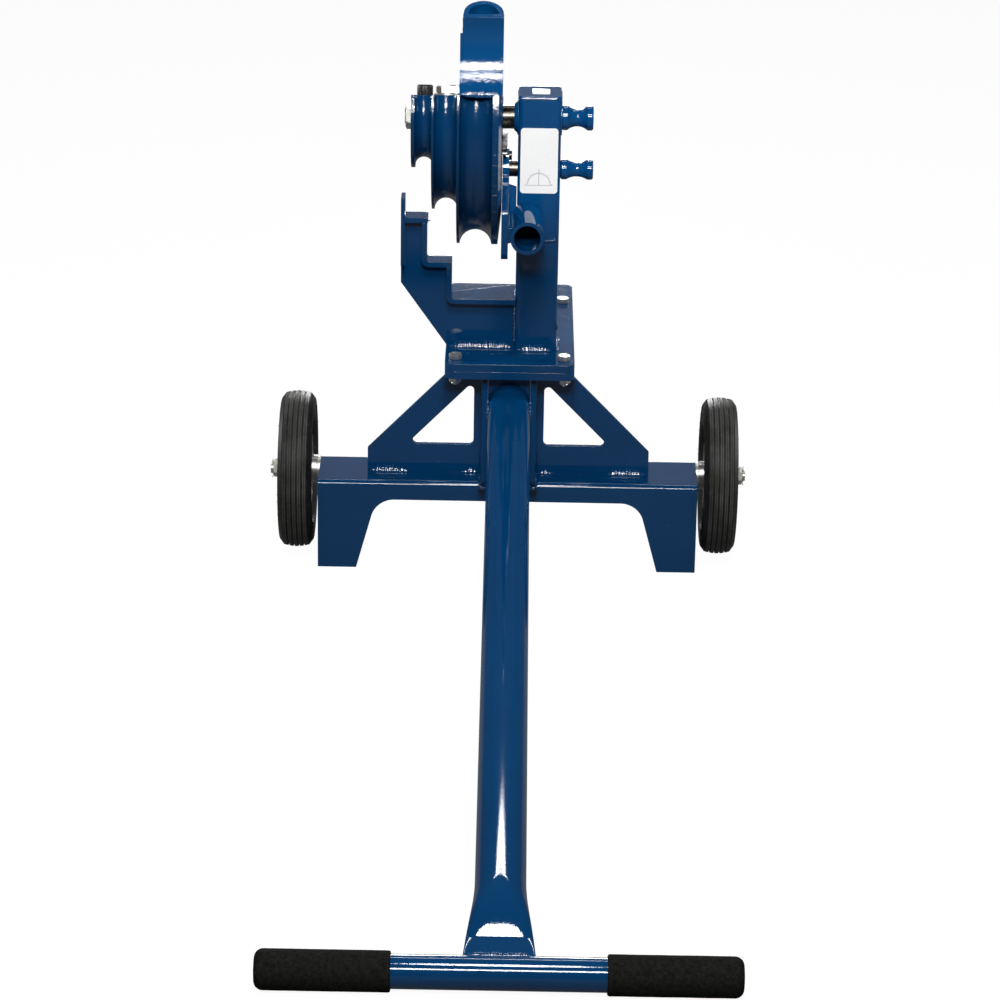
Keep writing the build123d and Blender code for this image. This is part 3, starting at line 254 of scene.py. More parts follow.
TURNED = (8, 0.4, 0.4)
ENAMEL = paint_material("enamel", peel=0.04, peel_scale=420, gloss=0.05)
# The casting's enamel is the same paint in darker tones, which paint in shade
CASTING = paint_material(
    "shaded_enamel_on_casting", peel=0.55, peel_scale=330, gloss=0.15, edge=0.0014, tones=SHADED_CAST_PAINT
)
WELD = paint_material("enamel_on_weld", peel=0.3, peel_scale=300, gloss=0.11, edge=0.0004, index=2.0)
PEEL = paint_material("enamel_orange_peel", peel=0.5, peel_scale=300, gloss=0.07)
ZINC = metal_material("zinc", (0.55, 0.56, 0.50), (0.82, 0.82, 0.75), rough=0.30, metallic=0.8)
SHAFT_STEEL = metal_material(
    "oiled_shaft", (0.02, 0.018, 0.015), (0.12, 0.11, 0.095), rough=0.22, scale=60, stretch=TURNED
)
SEGMENT_STEEL = metal_material("ground_steel", (0.22, 0.22, 0.22), (0.38, 0.38, 0.37), rough=0.36, scale=50)
BLACK_STEEL = metal_material(
    "black_oxide", (0.010, 0.010, 0.011), (0.026, 0.026, 0.028), rough=0.38, scale=80, metallic=0.3
)
RIM_STEEL = metal_material("rim_steel", (0.52, 0.52, 0.51), (0.72, 0.72, 0.71), rough=0.28, scale=30)
RUBBER = rubber_material(
    "tyre_rubber", (0.009, 0.009, 0.008), (0.028, 0.028, 0.026),
    scale=60, rough=0.42, grain=900, shine=0.18, pale_dust_and_sheen=DUST_AND_SHEEN,
)
FOAM = rubber_material(
    "grip_foam", (0.009, 0.009, 0.008), (0.026, 0.026, 0.024), scale=260, rough=0.8, grain=1500, shine=0.04
)
NYLON = rubber_material(
    "bush_nylon", (0.55, 0.53, 0.48), (0.68, 0.66, 0.60), scale=30, rough=0.45, grain=500, shine=0.35
)
LABEL = rubber_material(
    "label_film", (0.90, 0.90, 0.89), (0.96, 0.96, 0.95), scale=12, rough=0.32, grain=250, shine=0.2
)
INK = rubber_material(
    "label_ink", (0.16, 0.16, 0.17), (0.24, 0.24, 0.25), scale=60, rough=0.5, grain=400, shine=0.2
)

BY_SLOT = {
    "blue_paint": ENAMEL, "blue_casting": CASTING, "zinc_steel": ZINC, "dark_steel": SHAFT_STEEL,
    "black_steel": BLACK_STEEL, "rim_steel": RIM_STEEL, "tyre": RUBBER, "foam": FOAM, "bush": NYLON,
    "label": LABEL,
}
SPECIAL = {
    "ratchet_segment": SEGMENT_STEEL, "drive_pawl": SEGMENT_STEEL, "hook_strap": PEEL, "hook_saddle": PEEL,
    "hook_brace": PEEL, "hook_lug": PEEL,
}
for entry in frame["record"]["subparts"]:
    node = NODES[entry["node"]]
    node.data.materials.clear()
    node.data.materials.append(SPECIAL.get(entry["node"], BY_SLOT[entry["material_slot"]]))


# Mesh helpers: sizes in millimetres, in the row's frame


def circle(radius, height, count=48):
    """A ring of points round the z axis."""
    turns = [2 * math.pi * i / count for i in range(count)]
    return [(radius * math.cos(a), radius * math.sin(a), height) for a in turns]


# Where a turned chamfer starts, as a share of the width across flats
CHAMFER_EDGE = 0.48


def hexagon(across, height, count=48, chamfer=0.0):
    """A hexagon ring; chamfer lowers its corners (or raises them, if negative) as a turned chamfer does."""
    points = []
    for i in range(count):
        angle = 2 * math.pi * i / count
        radius = across / 2 / math.cos((angle + math.pi / 6) % (math.pi / 3) - math.pi / 6)
        drop = chamfer * max(0.0, radius - CHAMFER_EDGE * across)
        points.append((radius * math.cos(angle), radius * math.sin(angle), height - drop))
    return points


def stack(bm, rings, matrix=Matrix(), loop=False):
    """Joins rings of points into one closed skin, capped at both ends or closed on itself."""
    made = [[bm.verts.new(matrix @ (Vector(p) * MM)) for p in ring] for ring in rings]
    pairs = list(zip(made, made[1:]))
    if loop:
        pairs.append((made[-1], made[0]))
    count = len(made[0])
    for low, high in pairs:
        for i in range(count):
            j = (i + 1) % count
            bm.faces.new((low[i], low[j], high[j], high[i]))
    if not loop:
        bm.faces.new(list(reversed(made[0])))
        bm.faces.new(made[-1])


AXES = {
    "Z": Matrix(), "-Z": Matrix.Rotation(math.pi, 4, "X"),
    "X": Matrix.Rotation(math.pi / 2, 4, "Y"), "-X": Matrix.Rotation(-math.pi / 2, 4, "Y"),
}


def place(at, axis="Z", spin=0.0, lean=Matrix()):
    """A frame at a point in millimetres, with its own z along an axis."""
    return Matrix.Translation(Vector(at) * MM) @ lean @ AXES[axis] @ Matrix.Rotation(spin, 4, "Z")


def piece(bm, name, body, material, stands_for=(), sharp=40):
    """Makes a named piece of a finished skin, smooth except at sharp edges, and lets it ride on a body."""
    bmesh.ops.recalc_face_normals(bm, faces=bm.faces)
    for face in bm.faces:
        face.smooth = True
    limit = math.radians(sharp)
    for edge in bm.edges:
        edge.smooth = len(edge.link_faces) == 2 and edge.calc_face_angle(0) < limit
    mesh = bpy.data.meshes.new(name)
    bm.to_mesh(mesh)
    bm.free()
    mesh.materials.append(material)
    obj = bpy.data.objects.new(name, mesh)
    bpy.context.scene.collection.objects.link(obj)
    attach(obj, body)
    if stands_for:
        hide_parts(*stands_for)


# How far a bead on a fillet is pressed flat, the steps in each ripple, the range of a drop's width,
# the ripples of thin and heavy beads, and the radius from which a bead is heavy
PRESS, RIPPLE_STEPS, DROP_WIDTHS = 0.65, 5, (0.86, 1.1)
THIN_RIPPLE, HEAVY_RIPPLE, HEAVY_BEAD = 2.6, 4.2, 4


def sweep(bm, points, radii, sides=10, lay=None):
    """A closed tube along points in millimetres, with a radius at each point, pressed flat along lay."""
    points = [Vector(p) for p in points]
    rings = []
    side = None
    for i, point in enumerate(points):
        ahead = points[min(i + 1, len(points) - 1)] - points[max(i - 1, 0)]
        ahead.normalize()
        if side is None:
            side = ahead.orthogonal()
        side = (side - ahead * side.dot(ahead)).normalized()
        other = ahead.cross(side)
        turns = [2 * math.pi * k / sides for k in range(sides)]
        ring = [(side * math.cos(a) + other * math.sin(a)) * radii[i] for a in turns]
        if lay:
            ring = [p - lay * (PRESS * p.dot(lay)) for p in ring]
        rings.append([point + p for p in ring])
    stack(bm, rings)


def resample(points, step):
    """Points about one step apart along a line of straight runs."""
    points = [Vector(p) for p in points]
    out = [points[0]]
    for a, b in zip(points, points[1:]):
        count = max(1, round((b - a).length / step))
        out += [a.lerp(b, k / count) for k in range(1, count + 1)]
    return out


def bead(bm, points, radius, seed, ripple=THIN_RIPPLE, lay=None):
    """A weld bead: a tube with a ripple for each drop of metal, a wandering width and thin ends."""
    draw = random.Random(seed)
    step = ripple / RIPPLE_STEPS
    line = resample(points, step)
    radii = []
    spread = 1.0
    for i in range(len(line)):
        phase = i * step / ripple
        if i % RIPPLE_STEPS == 0:
            spread = draw.uniform(*DROP_WIDTHS)
        edge = min(i, len(line) - 1 - i) * step / (1.6 * radius)
        drop = 0.82 + 0.18 * abs(math.sin(math.pi * phase))
        radii.append(radius * spread * drop * min(1.0, 0.3 + 0.7 * edge))
    drift = [noise.noise(p * 0.11 + Vector((seed, 0, 0))) * radius * 0.25 for p in line]
    line = [p + Vector((d, d * 0.4, d * 0.5)) for p, d in zip(line, drift)]
    sweep(bm, line, radii, lay=lay)


def slab(bm, centre, size, matrix=Matrix()):
    """A small closed block."""
    cx, cy, cz = centre
    hx, hy, hz = (s / 2 for s in size)
    rings = [
        [(cx - hx, cy - hy, z), (cx + hx, cy - hy, z), (cx + hx, cy + hy, z), (cx - hx, cy + hy, z)]
        for z in (cz - hz, cz + hz)
    ]
    stack(bm, rings, matrix)


# Fasteners


def bolt_rings(shank, length, across, height, pitch=0.0):
    """A bolt from its tip up to a chamfered hexagon head with a shallow dish in its top."""
    rings = [circle(shank * 0.42, -length)]
    if pitch:
        turns = int(length * 0.55 / pitch)
        for k in range(turns):
            low = -length + 0.4 + k * pitch
            rings += [circle(shank * 0.46, low), circle(shank * 0.5, low + pitch / 2)]
    else:
        rings.append(circle(shank * 0.5, -length + 0.5))
    edge = CHAMFER_EDGE * across
    rings += [circle(shank * 0.5, -0.2), circle(edge, 0.0), hexagon(across, 0.25, chamfer=-0.5)]
    rings += [hexagon(across, height, chamfer=0.55), circle(edge, height), circle(edge * 0.7, height)]
    return rings + [circle(edge * 0.62, height - 0.35)]


def nut_rings(bore, across, height):
    """A nut with chamfered corners and bore, as a skin closed on itself."""
    edge = CHAMFER_EDGE * across
    return [
        circle(bore, 0.7), circle(bore, height - 0.7), circle(bore + 0.6, height), circle(edge, height),
        hexagon(across, height, chamfer=0.55), hexagon(across, 0.0, chamfer=-0.55), circle(edge, 0.0),
        circle(bore + 0.6, 0.0),
    ]


# Bolts: shank, length, width across flats, head, thread. Nuts: radius of bore, width across flats, height
DECK_Z, LOWER_Z, WASHER = 270.05, 251.0, 1.8
BASE_BOLT, BASE_NUT = (9.525, DECK_Z - 237.9, 14.29, 6.2, 1.5), (4.85, 14.29, 8.3)
SET_BOLT, SHOE_NUT, AXLE_NUT = (15.875, 11.9, 23.8, 9.5), (9.6, 28.6, 8.5), (6.4, 19.05, 6.3)
BOLT_PLACES = [(x, y) for x in (-65.5, 65.5) for y in (395.125, 619.125)]


def base_fasteners():
    """Base bolts with threads, and their nuts, each turned its own way."""
    draw = random.Random(4)
    bolts, nuts = bmesh.new(), bmesh.new()
    for x, y in BOLT_PLACES:
        spin = draw.uniform(0, math.pi / 3)
        stack(bolts, bolt_rings(*BASE_BOLT), place((x, y, DECK_Z), spin=spin))
        under = LOWER_Z - WASHER - BASE_NUT[2]
        nut = place((x, y, under), spin=draw.uniform(0, math.pi / 3))
        stack(nuts, nut_rings(*BASE_NUT), nut, loop=True)
    piece(bolts, "base_bolts_detail", "frame", ZINC, ["base_bolts"])
    piece(nuts, "base_nuts_detail", "frame", ZINC, ["base_nuts"])


# The axle and its ends, in millimetres
AXLE_Y, AXLE_Z, AXLE_HALF, TYRE_HALF = 457.125, 101.6, 293.0, 20.25
AXLE_NUT_X, COTTER_INSET, COTTER_RADIUS, COTTER_EYE = 283.3, 2.4, 0.62, 2.5


def axle_fasteners():
    """The axle's nuts and split pins."""
    nuts, pins = bmesh.new(), bmesh.new()
    for side, axis in ((1, "X"), (-1, "-X")):
        at = place((side * AXLE_NUT_X, AXLE_Y, AXLE_Z), axis, 0.2 * side)
        stack(nuts, nut_rings(*AXLE_NUT), at, loop=True)
        x = side * (AXLE_HALF - COTTER_INSET)
        leg = [(0.5, 6.6), (0.5, 0.0), (0.5, -6.6), (1.2, -8.4), (3.0, -9.6), (5.2, -10.0)]
        turns = [0.4 + k * 0.52 for k in range(11)]
        eye = [(COTTER_EYE * math.sin(a), 9.3 - COTTER_EYE * math.cos(a)) for a in turns]
        path = leg[::-1] + eye + [(-y, z) for y, z in leg]
        line = resample([(x, AXLE_Y + y, AXLE_Z + z) for y, z in path], 0.8)
        sweep(pins, line, [COTTER_RADIUS] * len(line), 8)
    piece(nuts, "axle_nuts_detail", "frame", ZINC, ["axle_nuts"])
    piece(pins, "cotter_pins_detail", "frame", ZINC, ["cotter_pins"])


# The shoe turns on the shaft and leans at rest; its flat lies above the shaft
SHAFT_Y, SHAFT_Z = 452.275, 555.05
SHOE_LEAN = Matrix.Rotation(math.radians(-15.1), 4, "X")
FLAT, SET_BOLT_X, SET_SCREW_X, SHOE_NUT_X, SET_WASHER = 23.7, -79.2, -106.2, -128.7, 2.4
KNURLS = (0.0, 0.28, 0.42, 0.28)


def in_shoe(x, y, z):
    """A point given in the shoe's own frame, moved into the row's frame."""
    v = SHOE_LEAN @ Vector((x, y, z))
    return Vector((v.x, SHAFT_Y + v.y, SHAFT_Z + v.z))


def shoe_fasteners():
    """The set bolt, the knurled set screw and the shoe's nut."""
    bolt = bmesh.new()
    at = place(in_shoe(SET_BOLT_X, 0, FLAT + SET_WASHER), spin=0.5, lean=SHOE_LEAN)
    stack(bolt, bolt_rings(*SET_BOLT), at)
    piece(bolt, "set_bolt_detail", "shoe", ZINC, ["set_bolt"])
    screw = bmesh.new()
    count = 96

    def knurled(radius, height):
        """A ring with fine teeth."""
        points = []
        for i in range(count):
            angle = 2 * math.pi * i / count
            r = radius - KNURLS[i % len(KNURLS)]
            points.append((r * math.cos(angle), r * math.sin(angle), height))
        return points

    shank = [circle(radius, height, count) for radius, height in ((6.2, -9.5), (6.2, 0.0), (8.7, 0.0))]
    crown = [circle(radius, height, count) for radius, height in ((9.0, 11.6), (8.2, 12.7), (5.9, 12.7))]
    socket = [hexagon(9.5, 12.1, count), hexagon(9.5, 7.0, count)]
    rings = shank + [knurled(9.5, 0.7), knurled(9.5, 10.9)] + crown + socket
    stack(screw, rings, place(in_shoe(SET_SCREW_X, 0, FLAT), lean=SHOE_LEAN))
    piece(screw, "set_screw_detail", "shoe", BLACK_STEEL, ["set_screw"])
    nut = bmesh.new()
    stack(nut, nut_rings(*SHOE_NUT), place((SHOE_NUT_X, SHAFT_Y, SHAFT_Z), "X", 0.3), loop=True)
    piece(nut, "shoe_nut_detail", "shoe", ZINC, ["shoe_nut"])


# Tow tube, foam grips, tyres and labels


# Places of the handle bar and the grips, the tow tube's climb and end, and its press along it from the bar
BAR_Y, BAR_Z, GRIP_X = -672.875, 20.25, 103.0
TUBE_RISE, TUBE_RUN, TUBE_END_Y, TUBE = 190.75, 1059.0, 396.125, 50.8
TONGUE_START, CREASE, FLARE, TAPER = 9.0, 46.7, 74.0, 91.2
TONGUE_WIDTH, TONGUE_FLAT, TONGUE_WEDGE, TONGUE_SPLAY = 66.0, 10.15, 3.0, 0.16
AROUND = 112
# The grips' rounded end, and how uneven the skin is outside their bore
GRIP_ROUND, GRIP_END, GRIP_UNEVEN, GRIP_BORE = 9, 121, 0.006, 17


def tow_tube():
    """The tow tube with a smooth press from its round part down to the flat tongue."""
    slope = math.atan2(TUBE_RISE, TUBE_RUN)
    along = Vector((0, math.cos(slope), math.sin(slope)))
    up = Vector((0, -math.sin(slope), math.cos(slope)))
    base = Vector((0, BAR_Y, BAR_Z))
    # Rings along the tongue, one for each millimetre of the press, and wide apart along the round tube
    stops = [TONGUE_START + k * 4.1 for k in range(10)] + [CREASE + k for k in range(92)]
    stops += [CREASE + 92 + k * 23.0 for k in range(41)] + [None]
    rings = []
    for stop in stops:
        far = (TUBE_END_Y - BAR_Y) / math.cos(slope) if stop is None else stop
        share = min(1.0, max(0.0, (far - CREASE) / FLARE))
        ease = max(0.0, 1 - max(0.0, far - CREASE) / TAPER) ** 1.5
        width = TUBE + (TONGUE_WIDTH - TUBE) * ease + max(0.0, CREASE - far) * TONGUE_SPLAY
        thin = TONGUE_FLAT + TONGUE_WEDGE * min(1.0, far / CREASE)
        height = thin + (TUBE - thin) * (1 - (1 - share) ** 2)
        # The section's corners go from nearly square at the bar to a circle's
        power = 2 / (2 + 4.5 * (1 - share) ** 2 + 16 * max(0.0, 1 - far / CREASE))
        ring = []
        for k in range(AROUND):
            a = 2 * math.pi * k / AROUND
            x = math.copysign(abs(math.cos(a)) ** power, math.cos(a)) * width / 2
            z = math.copysign(abs(math.sin(a)) ** power, math.sin(a)) * height / 2
            point = base + along * far + up * z + Vector((x, 0, 0))
            if stop is None:
                point += along * ((TUBE_END_Y - point.y) / along.y)
            ring.append(point)
        rings.append(ring)
    bm = bmesh.new()
    stack(bm, rings)
    piece(bm, "tow_tube_skin", "frame", ENAMEL, ["tow_tube"])


def grips():
    """Foam sleeves with a closed rounded end and a slightly uneven skin."""
    for side, name, axis in ((-1, "grip_left", "-X"), (1, "grip_right", "X")):
        bm = bmesh.new()
        # Radius and distance along: the mouth, the sleeve and the rounded end
        outline = [(16.9, 7.0), (16.9, 0.4), (18.4, 0.0), (19.7, 0.5), (20.15, 1.8)]
        outline += [(20.2, 2.6 + k * 1.5) for k in range(80)]
        turns = [k * math.pi / 20 for k in range(1, 11)]
        outline += [(11.25 + GRIP_ROUND * math.cos(a), GRIP_END + GRIP_ROUND * math.sin(a)) for a in turns]
        outline += [(7.0, 129.9), (3.0, 129.8)]
        rings = []
        for radius, along in outline:
            ring = []
            for x, y, z in circle(radius, along, AROUND):
                lump = noise.noise(Vector((x, y, z)) * 0.06 + Vector((side * 40, 0, 0)))
                grain = noise.noise(Vector((x, y, z)) * 0.9)
                uneven = GRIP_UNEVEN * (1 + lump) + GRIP_UNEVEN * (1 + grain)
                keep = 1 - uneven * (radius > GRIP_BORE)
                ring.append((x * keep, y * keep, z))
            rings.append(ring)
        rings.insert(0, circle(16.8, 110.0, AROUND))
        stack(bm, rings, place((side * GRIP_X, BAR_Y, BAR_Z), axis))
        piece(bm, name + "_foam", "frame", FOAM, [name], sharp=60)


# Radius and half width of the raised rings, and the number of hairs on each side wall
RAISED_RINGS, HAIRS = ((73.0, 1.3), (79.5, 0.8)), 26


def tyre_details():
    """Raised rings and moulding hairs on the tyres' side walls."""
    for side, word in ((-1, "left"), (1, "right")):
        bm = bmesh.new()
        draw = random.Random(11 + side)
        for axis in ("X", "-X"):
            at = place((side * WHEEL_X, AXLE_Y, AXLE_Z), axis)
            for radius, width in RAISED_RINGS:
                steps = ((-width, -0.4), (0, 0.45), (width, -0.4), (0, -0.8))
                stack(bm, [circle(radius + dr, TYRE_HALF + dz, 96) for dr, dz in steps], at, loop=True)
            for _ in range(HAIRS):
                turn = draw.uniform(0, 2 * math.pi)
                out = draw.uniform(76, 86)
                root = Matrix.Translation(Vector((out, 0, TYRE_HALF - 0.3)) * MM)
                hair = at @ Matrix.Rotation(turn, 4, "Z") @ root
                tall = draw.uniform(0.8, 2.0)
                stack(bm, [circle(0.45, 0, 6), circle(0.3, tall * 0.7, 6), circle(0.12, tall, 6)], hair)
        piece(bm, "tyre_mouldings_" + word, "wheel_" + word, RUBBER)


# The cap's sticker with the middle and first angle of its round corners, and the dial on the label
STICKER_X, STICKER_Y, STICKER_Z, STICKER_ROUND = 32.0, 452.3, 586.5, 1.5
STICKER_CORNERS = ((9, 11, 0), (-9, 11, 90), (-9, -11, 180), (9, -11, 270))
DIAL_X, DIAL_Y, DIAL_Z, DIAL_RADIUS, DIAL_STEP = 30.8, 426.44, 480.0, 13.0, 7.5
INK_LINE, INK_RISE = 0.32, 0.1


def labels():
    """A blank sticker on the cap and, on the column's blank plate, an unlettered bend-angle dial."""
    sticker = bmesh.new()
    rings = []
    for height, inset in ((0.0, 0.0), (0.12, 0.0), (0.18, 0.12)):
        ring = []
        for cx, cy, turn in STICKER_CORNERS:
            for k in range(5):
                a = math.radians(turn + k * 22.5)
                reach = STICKER_ROUND - inset
                x, y = cx + reach * math.cos(a), cy + reach * math.sin(a)
                ring.append((STICKER_X + x, STICKER_Y + y, STICKER_Z + height))
        rings.append(ring)
    stack(sticker, rings)
    piece(sticker, "cap_sticker", "frame", LABEL)
    dial = bmesh.new()
    for k in range(25):
        a = math.radians(180 - k * DIAL_STEP)
        long = 3.4 if k % 6 == 0 else 1.8
        mid = DIAL_RADIUS + long / 2
        at = place((DIAL_X + mid * math.cos(a), DIAL_Y, DIAL_Z + mid * math.sin(a)))
        slab(dial, (0, 0, 0), (long, INK_RISE, INK_LINE), at @ Matrix.Rotation(-a, 4, "Y"))
    for k in range(48):
        a = math.radians(180 - (k + 0.5) * DIAL_STEP / 2)
        x, z = DIAL_RADIUS * math.cos(a), DIAL_RADIUS * math.sin(a)
        at = place((DIAL_X + x, DIAL_Y, DIAL_Z + z))
        slab(dial, (0, 0, 0), (INK_LINE, INK_RISE, 0.9), at @ Matrix.Rotation(-a, 4, "Y"))
    slab(dial, (DIAL_X, DIAL_Y, DIAL_Z - 1.5), (2 * DIAL_RADIUS + 8, INK_RISE, 0.4))
    slab(dial, (DIAL_X, DIAL_Y, DIAL_Z + 9.0), (0.5, INK_RISE, 20.0))
    piece(dial, "label_dial", "frame", INK)


# The ticks on the flange's rim run from its front downwards: first angle and step in degrees
FLANGE_RADIUS, TICK_X, TICK_FIRST, TICK_STEP = 151.5, -20.8, 172, 5


def flange_ticks():
    """Cast angle ticks, without figures, round the rim of the shoe's right flange."""
    bm = bmesh.new()
    for k in range(19):
        turn = Matrix.Rotation(math.radians(TICK_FIRST + k * TICK_STEP), 4, "X")
        at = place((0, SHAFT_Y, SHAFT_Z), lean=SHOE_LEAN) @ turn
        slab(bm, (TICK_X, FLANGE_RADIUS, 0), (4.6 if k % 3 == 0 else 3.0, 0.7, 1.0), at)
    piece(bm, "flange_ticks", "shoe", CASTING)


# Weld beads

# Directions in which the beads on fillets are pressed flat
FILLET_ANGLE = math.radians(27.5)
FILLET = Vector((0, -math.cos(FILLET_ANGLE), math.sin(FILLET_ANGLE)))
TONGUE_FILLET = Vector((0, -0.588, 0.809))
CAP_Z, SLEEVE_RADIUS = 582.5, 19.9


def weld_frame():
    """Beads on the stand and the head."""
    bm = bmesh.new()
    seeds = iter(range(100, 400))

    def line(points, radius, lay=None):
        ripple = THIN_RIPPLE if radius < HEAVY_BEAD else HEAVY_RIPPLE
        bead(bm, points, radius, next(seeds), ripple, lay)

    # Rest plate and column on the deck
    line([(-73, 434.2, 272.3), (2, 434.2, 272.3)], 7.0, FILLET)
    line([(-72, 448.8, 270.6), (3, 448.8, 270.6)], 3.0)
    line([(8, 423.2, 272.3), (50, 423.2, 272.3)], 7.0, FILLET)
    line([(56.7, 430, 270.6), (56.7, 475, 270.6)], 3.2)
    line([(9, 478.2, 270.6), (53, 478.2, 270.6)], 3.2)
    line([(4.9, 451, 270.6), (4.9, 475, 270.6)], 3.0)
    # Rest plate and large pad on the column, and short runs on the column
    line([(5.0, 438.5, 276), (5.0, 438.5, 327)], 2.3)
    line([(5.0, 448.7, 276), (5.0, 448.7, 327)], 2.3)
    line([(56.0, 429.0, 297), (56.0, 429.0, 309)], 1.7)
    line([(36, 426.4, 409.0), (46, 426.4, 409.6), (55, 426.6, 411.6)], 2.3)
    line([(5.0, 434, 335.0), (5.0, 470, 335.0)], 2.0)
    # Cap
    line([(8, 427.0, CAP_Z + 2.2), (53.5, 427.0, CAP_Z + 2.2)], 2.4, FILLET)
    line([(9, 477.6, CAP_Z), (53, 477.6, CAP_Z)], 1.1)
    line([(5.5, 431, CAP_Z), (5.5, 474, CAP_Z)], 1.1)
    line([(56.1, 431, CAP_Z), (56.1, 474, CAP_Z)], 1.1)
    # Gussets and cheeks on the beam, on each other, under the base plate and on the tow tube
    for side in (-1, 1):
        line([(side * 122, 418.8, 115.4), (side * 168, 418.8, 115.4)], 6.5, FILLET)
        line([(side * 38, 419.4, 115.0), (side * 56, 419.4, 115.0)], 5.0, FILLET)
        line([(side * 60, 428.9, 113.7), (side * 150, 428.9, 113.7)], 2.7)
        line([(side * 33.4, 388, 114.0), (side * 33.4, 419, 114.0)], 3.4)
        line([(side * 33.0, 432, 113.6), (side * 33.0, 470, 113.6)], 2.2)
        line([(side * 33.0, 421.8, 122), (side * 33.0, 421.8, 146)], 1.9)
        line([(side * 33.0, 421.8, 205), (side * 33.0, 421.8, 246)], 1.9)
        line([(side * 38, 421.8, 250.6), (side * 64, 421.8, 250.6)], 2.2)
        line([(side * 33.0, 432, 250.6), (side * 33.0, 625, 250.6)], 2.2)
        line([(side * 25.8, 379.0, 197), (side * 25.8, 383.4, 224)], 3.0)
        line([(side * 25.8, 368.2, 134), (side * 25.8, 369.6, 142)], 2.2)
        line([(side * 25.6, 365.6, 114.6), (side * 33.4, 368.6, 114.4), (side * 33.6, 384, 114.0)], 2.6)
    # Tongue on the handle bar
    line([(-30, -656.6, 30.2), (30, -656.6, 30.2)], 3.6, TONGUE_FILLET)
    line([(-31, -656.2, 17.7), (31, -656.2, 17.7)], 2.4)
    # Guard and pads on the rest plate
    line([(-128.0, 429, 435.9), (-128.0, 451, 435.9)], 1.3)
    line([(-128.0, 438.4, 372), (-128.0, 438.4, 424)], 1.2)
    line([(-112, 438.3, 429.0), (-98, 438.3, 429.0)], 1.2)
    line([(-86, 438.3, 374.0), (-76, 438.3, 374.0)], 1.2)
    line([(-55, 438.3, 328.2), (-10, 438.3, 328.2)], 1.6)
    # Shaft sleeve in the column
    round_sleeve = [math.radians(a) for a in range(0, 361, 6)]
    for x in (5.1, 56.5):
        ring = [(SLEEVE_RADIUS * math.cos(a), SLEEVE_RADIUS * math.sin(a)) for a in round_sleeve]
        line([(x, SHAFT_Y + y, SHAFT_Z + z) for y, z in ring], 1.0)
    piece(bm, "weld_beads_frame", "frame", WELD, sharp=70)


# The axis of the hook strap's bend in the shoe's frame, and the reach of the saddle's beads
HOOK_AXIS_Y, HOOK_AXIS_Z, HOOK_REACH = -208.19, 66.61, 79.2


def weld_shoe():
    """Beads on the shoe and its hook."""
    bm = bmesh.new()
    seeds = iter(range(500, 600))

    def line(points, radius, lay=None):
        bead(bm, points, radius, next(seeds), lay=lay)

    # Strap, brace, saddle and lug on the shoe
    line([in_shoe(-60, -147.8, 25.4), in_shoe(-17, -147.8, 25.4)], 5.0, FILLET)
    line([in_shoe(-63.6, -143, 24.0), in_shoe(-63.6, -75, 24.0)], 1.9)
    line([in_shoe(-58, -106, 24.0), in_shoe(-15, -106, 24.0)], 2.0)
    line([in_shoe(-84, 17.7, 24.0), in_shoe(-62, 17.7, 24.0)], 1.8)
    # Both sides of the saddle along the back of the strap
    bend = [math.radians(a) for a in range(-28, 37, 3)]
    for x in (-59.9, -14.4):
        arc = [(HOOK_REACH * math.cos(a), HOOK_REACH * math.sin(a)) for a in bend]
        line([in_shoe(x, HOOK_AXIS_Y + y, HOOK_AXIS_Z + z) for y, z in arc], 0.9)
    piece(bm, "weld_beads_shoe", "shoe", WELD, sharp=70)


def weld_lever():
    """Beads round the handle socket."""
    bm = bmesh.new()
    # Block and rib on the lever plate, and block on the socket
    for seed, z in ((700, 447.3), (701, 428.4)):
        bead(bm, [(-4.2, 354, z), (-4.2, 414, z)], 2.0, seed)
    bead(bm, [(-4.3, 420.3, 452), (-4.3, 420.3, 478)], 1.5, 702)
    for seed, z in ((703, 447.1), (704, 428.6)):
        bead(bm, [(0.2, 356, z), (0.2, 412, z)], 1.5, seed)
    piece(bm, "weld_beads_lever", "lever", WELD, sharp=70)


base_fasteners()
axle_fasteners()
shoe_fasteners()
tow_tube()
grips()
tyre_details()
labels()
flange_ticks()
weld_frame()
weld_shoe()
weld_lever()


# Stage: floor, lights and camera


# The floor's half width and its place in metres, and its glow for each kind of ray
FLOOR_HALF, FLOOR_Z = 60.0, -0.0004
FLOOR_GLOW = (("Is Camera Ray", 0.945), ("Is Glossy Ray", 0.08), ("Is Transmission Ray", 0.08))


def floor_material():
    """Dark floor that the camera sees as white where it is not in shade, and reflections as a dim grey."""
    mat, tree, shader = new_material("floor")
    shader.inputs["Base Color"].default_value = (*grey(0.13), 1)
    shader.inputs["Roughness"].default_value = 0.9
    shader.inputs["Specular IOR Level"].default_value = 0.0
    path = tree.nodes.new("ShaderNodeLightPath")
    strength = 0.0
    for name, share in FLOOR_GLOW:
        strength = math_node(tree, "MULTIPLY_ADD", path.outputs[name], share, strength)
    shader.inputs["Emission Color"].default_value = (1, 1, 1, 1)
    tree.links.new(strength, shader.inputs["Emission Strength"])
    return mat


def floor():
    """One wide plane just under the feet, which is the backdrop too."""
    mesh = bpy.data.meshes.new("floor")
    corners = [(x * FLOOR_HALF, y * FLOOR_HALF, 0) for x, y in ((-1, -1), (1, -1), (1, 1), (-1, 1))]
    mesh.from_pydata(corners, [], [(0, 1, 2, 3)])
    obj = bpy.data.objects.new("floor", mesh)
    obj.location.z = FLOOR_Z
    mesh.materials.append(floor_material())
    bpy.context.scene.collection.objects.link(obj)


def aim(light, centre, target):
    """Puts a lamp in the scene and turns it to its target."""
    obj = bpy.data.objects.new(light.name, light)
    obj.location = centre
    obj.rotation_euler = (Vector(target) - Vector(centre)).to_track_quat("-Z", "Y").to_euler()
    bpy.context.scene.collection.objects.link(obj)


